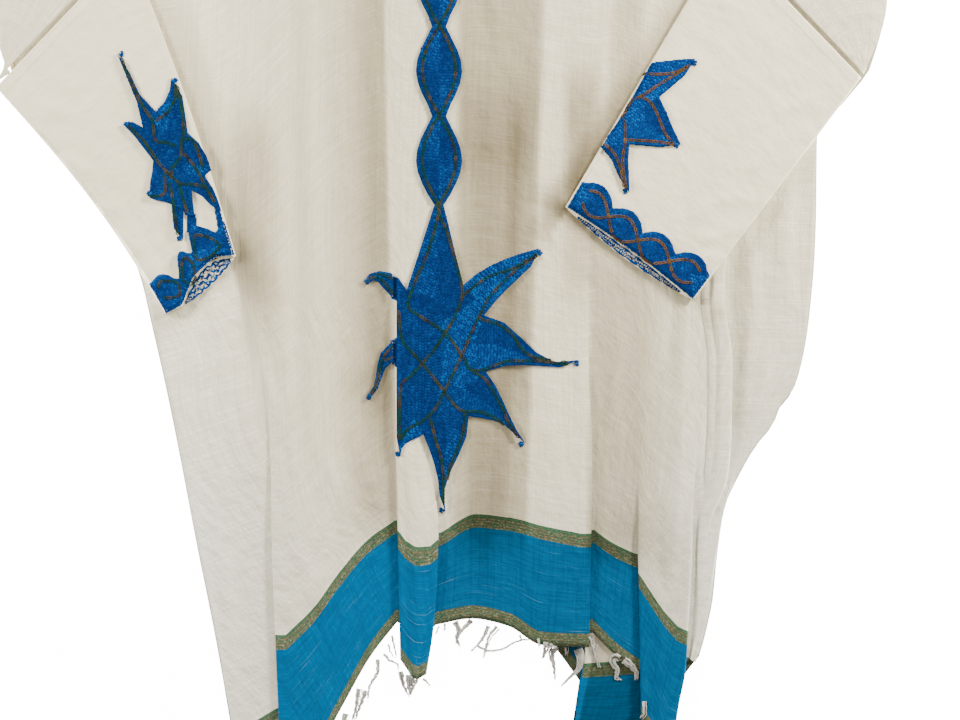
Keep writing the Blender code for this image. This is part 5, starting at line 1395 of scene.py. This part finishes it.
def grain_shape():
    """A fat little grain of yarn, one unit long, with four sides and pointed ends."""
    verts = [(-0.5, 0, 0)]
    for x in (-GRAIN_WAIST, GRAIN_WAIST):
        for k in range(4):
            angle = math.pi / 4 + k * math.pi / 2
            verts.append((x, math.cos(angle) / 2, math.sin(angle) / 2))
    verts.append((0.5, 0, 0))
    faces = []
    for k in range(4):
        a, b = 1 + k, 1 + (k + 1) % 4
        faces += [(0, a, b), (a, a + 4, b + 4, b), (9, b + 4, a + 4)]
    return verts, faces


def link_shape(around=9, sides=4):
    """One link of chain stitch: a pointed loop of yarn, one unit long."""
    verts, faces = [], []
    for k in range(around):
        angle = 2 * math.pi * k / around
        narrow = 0.62 + 0.38 * math.cos(angle) * 0.9
        cx, cy = 0.42 * math.cos(angle), 0.33 * math.sin(angle) * narrow * 1.25
        out = Vector((math.cos(angle), math.sin(angle), 0))
        for s in range(sides):
            turn = math.pi / 4 + 2 * math.pi * s / sides
            verts.append((cx + out.x * math.cos(turn) * 0.13, cy + out.y * math.cos(turn) * 0.17,
                          math.sin(turn) * 0.5))
    for k in range(around):
        for s in range(sides):
            a, b = k * sides + s, k * sides + (s + 1) % sides
            c, d = ((k + 1) % around) * sides + (s + 1) % sides, ((k + 1) % around) * sides + s
            faces.append((a, d, c, b))
    return verts, faces


def inside(outline, xs, drop):
    """Which of some places along one drop are inside an outline."""
    a = np.array(outline)
    b = np.roll(a, -1, axis=0)
    crossed = (a[:, 1] > drop) != (b[:, 1] > drop)
    fall = np.where(b[:, 1] == a[:, 1], TINY, b[:, 1] - a[:, 1])
    cut = a[:, 0] + (drop - a[:, 1]) / fall * (b[:, 0] - a[:, 0])
    return (crossed & (xs[:, None] < cut)).sum(axis=1) % 2 == 1


def drop_loose(thing):
    """Takes away the vertices that no face uses."""
    work = bmesh.new()
    work.from_mesh(thing.data)
    bmesh.ops.delete(work, geom=[vert for vert in work.verts if not vert.link_faces], context="VERTS")
    work.to_mesh(thing.data)
    work.free()


def underlay(name, outline, ground, material):
    """Thin ground of yarn under stitches, lying on whatever is below."""
    low, high = np.min(outline, axis=0), np.max(outline, axis=0)
    heights, faces = {}, []
    xs = np.arange(low[0], high[0], UNDERLAY_CELL)
    for j, drop in enumerate(np.arange(low[1], high[1], UNDERLAY_CELL)):
        for i in np.nonzero(inside(outline, xs + UNDERLAY_CELL / 2, drop + UNDERLAY_CELL / 2))[0]:
            face, levels = [], []
            for corner in ((i, j), (i, j + 1), (i + 1, j + 1), (i + 1, j)):
                if corner not in heights:
                    spot = low + np.array(corner) * UNDERLAY_CELL
                    heights[corner] = (place(*spot, ground.height(*spot) + UNDERLAY_LIFT), len(heights))
                face.append(heights[corner][1])
                levels.append(heights[corner][0].z / MM)
            if min(levels) > LOWEST_STITCH and max(levels) - min(levels) < UNDERLAY_FALL:
                faces.append(face)
    mesh = bpy.data.meshes.new(name)
    mesh.from_pydata([corner[:] for corner, _ in heights.values()], [], faces)
    mesh.shade_smooth()
    mesh.validate()
    thing = add_piece(name, mesh, material)
    drop_loose(thing)
    thicken(thing, UNDERLAY_LIFT)
    return thing


def rows_inside(outline, pitch, apart):
    """Places in rows that follow an outline inwards, each with the heading of its row."""
    low, high = np.min(outline, axis=0), np.max(outline, axis=0)
    a = np.array(outline)
    run = np.roll(a, -1, axis=0) - a
    size = np.maximum((run ** 2).sum(-1), TINY)
    kept = {}
    found = []
    for d in np.arange(low[1], high[1], 0.11):
        xs = np.arange(low[0], high[0], 0.11)
        at = np.stack([xs, np.full(len(xs), d)], -1)[:, None, :]
        t = np.clip(((at - a) * run).sum(-1) / size, 0, 1)
        away = at - a - run * t[..., None]
        distance = np.hypot(away[..., 0], away[..., 1])
        nearest = distance.argmin(axis=1)
        depth = distance[np.arange(len(xs)), nearest]
        is_in = inside(outline, xs, d)
        row = np.floor((depth - EDGE_MARGIN) / pitch)
        off = np.abs(depth - EDGE_MARGIN - (row + 0.5) * pitch)
        for k in np.nonzero(is_in & (row >= 0) & (off < 0.09))[0]:
            cell = (int(xs[k] / apart), int(d / apart))
            near = [p for i in (-1, 0, 1) for j in (-1, 0, 1) for p in kept.get((cell[0] + i, cell[1] + j), [])
                    if p[2] == row[k] and math.dist(p[:2], (xs[k], d)) < apart]
            if not near:
                kept.setdefault(cell, []).append((xs[k], d, row[k]))
                edge = run[nearest[k]]
                found.append((xs[k], d, math.atan2(-edge[1], edge[0])))
    return found


def fill_stitches(name, outline, ground, material, dice):
    """Rows of chain stitch that follow the outline: each stitch is two grains that lean together."""
    spots = []
    for x, d, heading in rows_inside(outline, ROW_PITCH, STITCH_APART):
        x, d = x + dice.uniform(-0.03, 0.03), d + dice.uniform(-0.03, 0.03)
        height, normal = ground.hit(x, d)
        if height < LOWEST_STITCH:
            continue
        lift = height + 0.25 + dice.uniform(-0.08, 0.14)
        shade = 0.45 + 0.3 * math.cos(2 * (heading - SHEEN_HEADING)) + dice.uniform(-0.32, 0.32)
        for lean in (-1, 1):
            spots.append({
                "at": place(x + math.sin(heading) * 0.07 * lean, d + math.cos(heading) * 0.07 * lean, lift),
                "heading": heading + 0.38 * lean + dice.uniform(-0.12, 0.12), "normal": normal,
                "length": 0.40 * CM * dice.uniform(0.9, 1.15), "width": 0.155 * CM, "height": 0.14 * CM,
                "shade": min(max(shade + dice.uniform(-0.15, 0.15), 0), 1)})
    return stamp(name, grain_shape(), spots, material)


def resample(path, spacing, closed=False):
    points = list(path) + ([path[0]] if closed else [])
    lengths = [0.0]
    for a, b in zip(points, points[1:]):
        lengths.append(lengths[-1] + math.dist(a, b))
    count = max(int(lengths[-1] / spacing), 2)
    at = np.linspace(0, lengths[-1], count + 1)
    xs = np.interp(at, lengths, [p[0] for p in points])
    ds = np.interp(at, lengths, [p[1] for p in points])
    return list(zip(xs, ds))


def smooth_path(path, count=10):
    """Smooth curve through a few plan points."""
    xs = [(i, p[0]) for i, p in enumerate(path)]
    ds = [(i, p[1]) for i, p in enumerate(path)]
    total = (len(path) - 1) * count
    return [(eased(xs, k / count), eased(ds, k / count)) for k in range(total + 1)]


def chain_spots(path, ground, dice, spacing=0.42, lift=0.65, width=0.48, shade_run=0.22):
    """Chain links along a path, a bit shorter apart than they are long."""
    spots = []
    points = resample(path, spacing)
    shade = dice.uniform(0, 1)
    for k in range(len(points) - 1):
        a, b = points[k], points[k + 1]
        middle = ((a[0] + b[0]) / 2, (a[1] + b[1]) / 2)
        height, normal = ground.hit(*middle)
        if height < LOWEST_STITCH:
            continue
        shade = (shade + dice.uniform(-shade_run, shade_run * 1.6)) % 1.0
        spots.append({
            "at": place(*middle, height + lift), "heading": math.atan2(-(b[1] - a[1]), b[0] - a[0]),
            "normal": normal, "length": spacing * 1.5 * CM, "width": width * CM, "height": 0.12 * CM,
            "shade": shade})
    return spots


def embroider(name, outline, lines, ground, fill, line, dice):
    """Filled area with lines of chain stitch over it."""
    fill_stitches(name + "_fill", outline, ground, fill, dice)
    spots = []
    for path in lines:
        spots += chain_spots(smooth_path(path), ground, dice)
    stamp(name + "_lines", link_shape(), spots, line)


def tip_knots(ground, tips, material, dice):
    """A few grains heaped at the blunt end of each ray. A tip is its place and the ray's centre."""
    spots = []
    for (x, drop), (cx, cd) in tips:
        away = math.hypot(cx - x, cd - drop)
        x, drop = x + (cx - x) / away * KNOT_INSET, drop + (cd - drop) / away * KNOT_INSET
        for _ in range(KNOT_GRAINS):
            turn, reach = dice.uniform(0, 2 * math.pi), KNOT_SPREAD * math.sqrt(dice.uniform(0, 1))
            at = (x + math.cos(turn) * reach, drop + math.sin(turn) * reach)
            height, normal = ground.hit(*at)
            spots.append({"at": place(*at, height + dice.uniform(0.3, 0.8)),
                          "heading": dice.uniform(0, math.pi),
                          "normal": normal, "length": 0.34 * CM, "width": 0.17 * CM, "height": 0.16 * CM,
                          "shade": dice.uniform(0, 1)})
    return stamp("ray_knots", grain_shape(), spots, material)


def ray_axes(star):
    """Tips of a sleeve star's longer rays, each with the middle of the ray's foot."""
    found = []
    before = star["start"]
    for ray in star["rays"]:
        foot = tuple((a + b) / 2 for a, b in zip(before, ray["root"]))
        if math.dist(ray["tip"], ray["root"]) > KNOT_RAY:
            found.append((ray["tip"], foot))
        before = ray["root"]
    return found


def column_lines():
    """Two wavy lines that cross at each waist of the column of ovals."""
    paths = []
    for side in (1, -1):
        path = []
        for k in range(LENS_COUNT * 10 - 3):
            phase = k / 10
            wide = LENS_HALF_WIDTH * CHAIN_LENS_SHARE * math.sin(math.pi * phase)
            path.append((COLUMN_X + side * wide, COLUMN_FOOT - phase * LENS_LENGTH))
        paths.append(path)
    paths.append([(COLUMN_X - 0.2, COLUMN_FOOT - 0.3), (COLUMN_X + 0.1, 71.0), (0.6, 72.2)])
    paths.append([(COLUMN_X + 0.2, COLUMN_FOOT - 0.3), (COLUMN_X - 0.1, 71.0), (-0.6, 72.7)])
    return paths


def right_cuff_lines():
    """Two wavy lines that cross below each valley of the border."""
    paths = []
    for turn in (1, -1):
        path = []
        for k in range(2, 39):
            q = k / 40
            path.append(cuff_place("right", q, 2.5 + 1.35 * turn * math.sin(math.pi * 4 * q)))
        paths.append(path)
    return paths


def seam_stitches(ground, material):
    """Two rows of short stitches either side of the seam across each sleeve, and along its edge."""
    spots = []
    for side in ("right", "left"):
        for share in (0.02, 0.046):
            path = lower_plan(side, share, 30)
            points = resample(path, 0.32)
            for a, b in zip(points[1:-2], points[2:-1]):
                middle = ((a[0] + b[0]) / 2, (a[1] + b[1]) / 2)
                height, normal = ground[side].hit(*middle)
                spots.append({"at": place(*middle, height + 0.12),
                              "heading": math.atan2(-(b[1] - a[1]), b[0] - a[0]),
                              "normal": normal, "length": 0.24 * CM, "width": 0.07 * CM, "height": 0.05 * CM,
                              "shade": 0.5})
    return stamp("sleeve_seam_stitches", grain_shape(), spots, material)


def thread_mesh(name, threads, material):
    """Mesh of thin three-sided threads. A thread is a list of world points and a radius."""
    verts, faces = [], []
    for points, radius in threads:
        base = len(verts)
        count = len(points)
        for k, point in enumerate(points):
            before, after = points[max(k - 1, 0)], points[min(k + 1, count - 1)]
            run = (after - before).normalized()
            side = run.cross(Vector((0, 0, 1)))
            side = side.normalized() if side.length > 1e-6 else Vector((1, 0, 0))
            up = side.cross(run)
            thin = radius * (1 - 0.5 * k / (count - 1))
            deep = min(thin, THREAD_DEPTH)
            for s in range(3):
                turn = 2 * math.pi * s / 3 + math.pi / 2
                verts.append(point + side * math.cos(turn) * thin + up * math.sin(turn) * deep)
        for k in range(count - 1):
            for s in range(3):
                a, b = base + k * 3 + s, base + k * 3 + (s + 1) % 3
                faces.append((a, b, b + 3, a + 3))
        faces.append((base + 2, base + 1, base))
        end = base + (count - 1) * 3
        faces.append((end, end + 1, end + 2))
    mesh = bpy.data.meshes.new(name)
    mesh.from_pydata([tuple(v) for v in verts], [], faces)
    mesh.shade_smooth()
    return add_piece(name, mesh, material)


def make_clumps(name, clumps, ground, material, dice):
    """Threads that run together along each clump's path, resting on what lies below."""
    threads = []
    for path, count, root, tip in clumps:
        line = resample(smooth_path(path), 0.16)
        last = len(line) - 1
        fused = max(1, round(count * FUSED_SHARE))
        for index in range(count + fused):
            side = dice.uniform(-0.5, 0.5)
            turn = dice.uniform(0, 6.3)
            wave = dice.uniform(0.02, 0.07)
            end = last - int(dice.uniform(0, 0.3) * last)
            level = dice.uniform(0.1, 1.6)
            points = []
            for k in range(end + 1):
                before, after = line[max(k - 1, 0)], line[min(k + 1, last)]
                run = math.dist(before, after)
                nx, nd = -(after[1] - before[1]) / run, (after[0] - before[0]) / run
                off = side * mix(root, tip, step(0, 0.8, k / last)) + wave * math.sin(turn + k * 1.3)
                x, drop = line[k][0] + nx * off, line[k][1] + nd * off
                points.append((x, drop, ground.height(x, drop)
                               + 0.5 + level * math.sin(math.pi * min(k / last, 1))))
            tops = [max(p[2] for p in points[max(i - 1, 0):i + 2]) for i in range(len(points))]
            thickness = dice.uniform(*FUSED_RADIUS) if index < fused else dice.uniform(*THREAD_RADIUS)
            threads.append(([place(x, drop, top) for (x, drop, _), top in zip(points, tops)], thickness * MM))
    thing = thread_mesh(name + "_threads", threads, material)
    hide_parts(name)
    return thing


def cuff_reverse(side, ground, colours, dice):
    """Loose loops of yarn on the wrong side of the cuff, seen in its opening."""
    spots = {name: [] for name in colours}
    last_part = math.dist(lower_plan(side, 1, 3)[1], lower_plan(side, 0.9, 3)[1])
    for row in range(REVERSE_ROWS):
        path = []
        for k in range(60):
            q = mix(0.06, 0.94, k / 59)
            deep = pulled_back(side, q) * last_part
            share = (row + 0.5) / REVERSE_ROWS + 0.12 * math.sin(k * 0.9 + row * 2.1) + dice.uniform(-0.1, 0.1)
            if deep > 0.2:
                path.append(cuff_place(side, q, mix(0.1, deep - 0.05, min(max(share, 0), 1))))
        name = "white" if row % 3 == 2 else "blue"
        spots[name] += chain_spots(path, ground, dice, 0.3, 0.25, 0.3)
    for name, found in spots.items():
        stamp(side + "_cuff_reverse_" + name, grain_shape(), found, colours[name])


# Stage

LAMP_COLOUR = (1.0, 0.955, 0.86)


def make_stage():
    n = Nodes("paper_white")
    n.finish((0.93, 0.93, 0.93, 1), 0.9, Emission_Strength=14.0)
    n.shader.inputs["Emission Color"].default_value = (1, 1, 1, 1)
    bpy.ops.mesh.primitive_plane_add(size=12, location=(0, 0, -0.0005))
    floor = bpy.context.object
    floor.name = "floor"
    floor.data.materials.append(n.material)
    lights = [("key", (2.1, 1.4, 1.1), 0.5, 200), ("left", (-2.0, 0.9, 1.0), 0.5, 95),
              ("top", (0.1, -0.1, 3.0), 2.6, 46)]
    for name, where, size, power in lights:
        lamp = bpy.data.lights.new(name, "AREA")
        lamp.size = size
        lamp.energy = power
        lamp.color = LAMP_COLOUR
        thing = bpy.data.objects.new(name, lamp)
        thing.location = where
        thing.rotation_euler = (Vector((0.04, -0.1, 0)) - Vector(where)).to_track_quat("-Z", "Y").to_euler()
        bpy.context.scene.collection.objects.link(thing)
    world = bpy.data.worlds.new("studio")
    bpy.context.scene.world = world
    world.use_nodes = True
    world.node_tree.nodes["Background"].inputs[0].default_value = (*LAMP_COLOUR, 1)
    world.node_tree.nodes["Background"].inputs[1].default_value = 0.36


PHOTO_WIDTH = 960 * 0.115
PHOTO_MIDDLE = (4.6, 87.5)
LENS = 85.0
SENSOR = 36.0


def make_camera():
    """Straight above, so that the frame's width at the cloth is the photo's width."""
    camera = bpy.data.cameras.new("camera")
    camera.lens = LENS
    camera.sensor_width = SENSOR
    thing = bpy.data.objects.new("camera", camera)
    distance = LENS / SENSOR * PHOTO_WIDTH * CM
    thing.location = place(*PHOTO_MIDDLE, 0) + Vector((0, 0, distance))
    bpy.context.scene.collection.objects.link(thing)
    bpy.context.scene.camera = thing


def dress_cad_nodes(pad, cotton):
    """The raised embroidery and the neck binding stay as built, with their own materials."""
    for name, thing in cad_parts.items():
        material = cotton if name == "neck_binding" else pad
        if name in KEPT_NODES:
            thing.data.materials.clear()
            thing.data.materials.append(material)


# Each cloth as cut, read off this model: width and length in m it is cut from, area, and how it lies
KEPT_NODES = ("front_embroidery", "star_upper_left_ray", "star_left_ray", "right_sleeve_star",
              "left_sleeve_star",
              "right_cuff_border", "left_cuff_border", "neck_binding")


def main():
    make_camera()
    make_stage()
    dice = np.random.default_rng(7)
    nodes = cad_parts
    built = {name: Ground([nodes[name]]) for name in KEPT_NODES}
    ground = Ground([nodes["front_panel"]], floor=WALL)
    gauze = gauze_material("gauze_with_border", border=True)
    plain = gauze_material("gauze", border=False)
    cotton = cotton_material()
    blue = yarn_material("blue_yarn", [
        (0.0, (0.0, 0.022, 0.12)), (0.35, (0.0, 0.038, 0.18)), (0.7, (0.0, 0.058, 0.25)),
        (1.0, (0.0, 0.115, 0.42))])
    variegated = yarn_material("variegated_yarn", [
        (0.0, (0.004, 0.035, 0.022)), (0.3, (0.030, 0.042, 0.014)), (0.5, (0.080, 0.054, 0.022)),
        (0.62, (0.016, 0.014, 0.010)), (0.8, (0.010, 0.050, 0.026)), (1.0, (0.004, 0.030, 0.024))])
    orange = yarn_material("orange_yarn", [
        (0.0, (0.15, 0.070, 0.018)), (0.3, (0.055, 0.036, 0.016)), (0.6, (0.17, 0.088, 0.024)),
        (0.8, (0.030, 0.022, 0.014)), (1.0, (0.10, 0.052, 0.018))])
    seam_yarn = yarn_material("seam_yarn", [(0.0, (0.70, 0.66, 0.56)), (1.0, (0.70, 0.66, 0.56))])
    threads = fringe_material()

    back = make_back(gauze)
    front_thing = make_front(gauze)
    tops = {}
    for side in ("right", "left"):
        make_upper_sleeve(side, ground, plain)
        tops[side] = make_lower_sleeve(side, ground, cotton)
    pad = pad_material()
    dress_cad_nodes(pad, cotton)

    embroider("front_star", front_outline(), column_lines() + STAR_LINES, built["front_embroidery"],
              blue, variegated, dice)
    for name, path in SIDE_RAYS.items():
        embroider(name, ray_outline(path), SIDE_RAY_LINES[name], built[name], blue, variegated, dice)
    top = {side: Ground([thing] + [nodes[side + part] for part in ("_sleeve_star", "_cuff_border")])
           for side, thing in tops.items()}
    right_star = star_outline(over_fold(RIGHT_STAR, *TO_SLEEVE_FOLD))
    embroider("right_star", right_star, RIGHT_STAR_LINES, top["right"], blue, orange, dice)
    embroider("left_star", star_outline(LEFT_STAR), LEFT_STAR_LINES, top["left"], blue, variegated, dice)
    stitched = {side: cuff_outline(side, STITCHED_INSET, STITCHED_SIDE) for side in top}
    underlay("right_star_ground", right_star, top["right"], pad)
    for side, outline in stitched.items():
        underlay(side + "_cuff_ground", outline, top[side], pad)
    embroider("right_cuff", stitched["right"], right_cuff_lines(), top["right"], blue, orange, dice)
    left_lines = [[cuff_place("left", q, reach) for q, reach in line] for line in LEFT_CUFF_LINES]
    embroider("left_cuff", stitched["left"], left_lines, top["left"], blue, variegated, dice)
    everything = Ground([front_thing, *tops.values()] + [nodes[name] for name in KEPT_NODES])
    for name, outline in JOINTS.items():
        underlay(name + "_ground", outline, everything, pad)
        fill_stitches(name, outline, everything, blue, dice)
    centre = [(polar(STAR_CENTRE, ray["tip"], ray["reach"]), STAR_CENTRE) for ray in STAR_RAYS[1:]]
    sides = [(path[-1][:2], path[-2][:2]) for path in SIDE_RAYS.values()]
    tip_knots(everything, centre + sides + ray_axes(RIGHT_STAR) + ray_axes(LEFT_STAR), blue, dice)
    sleeves = {side: Ground([thing]) for side, thing in tops.items()}
    seam_stitches(sleeves, seam_yarn)
    for side, ground in sleeves.items():
        cuff_reverse(side, ground, {"blue": blue, "white": seam_yarn}, dice)
    under = Ground([back, front_thing])
    for name, clumps in CLUMPS.items():
        make_clumps(name, clumps, under, threads, dice)


main()
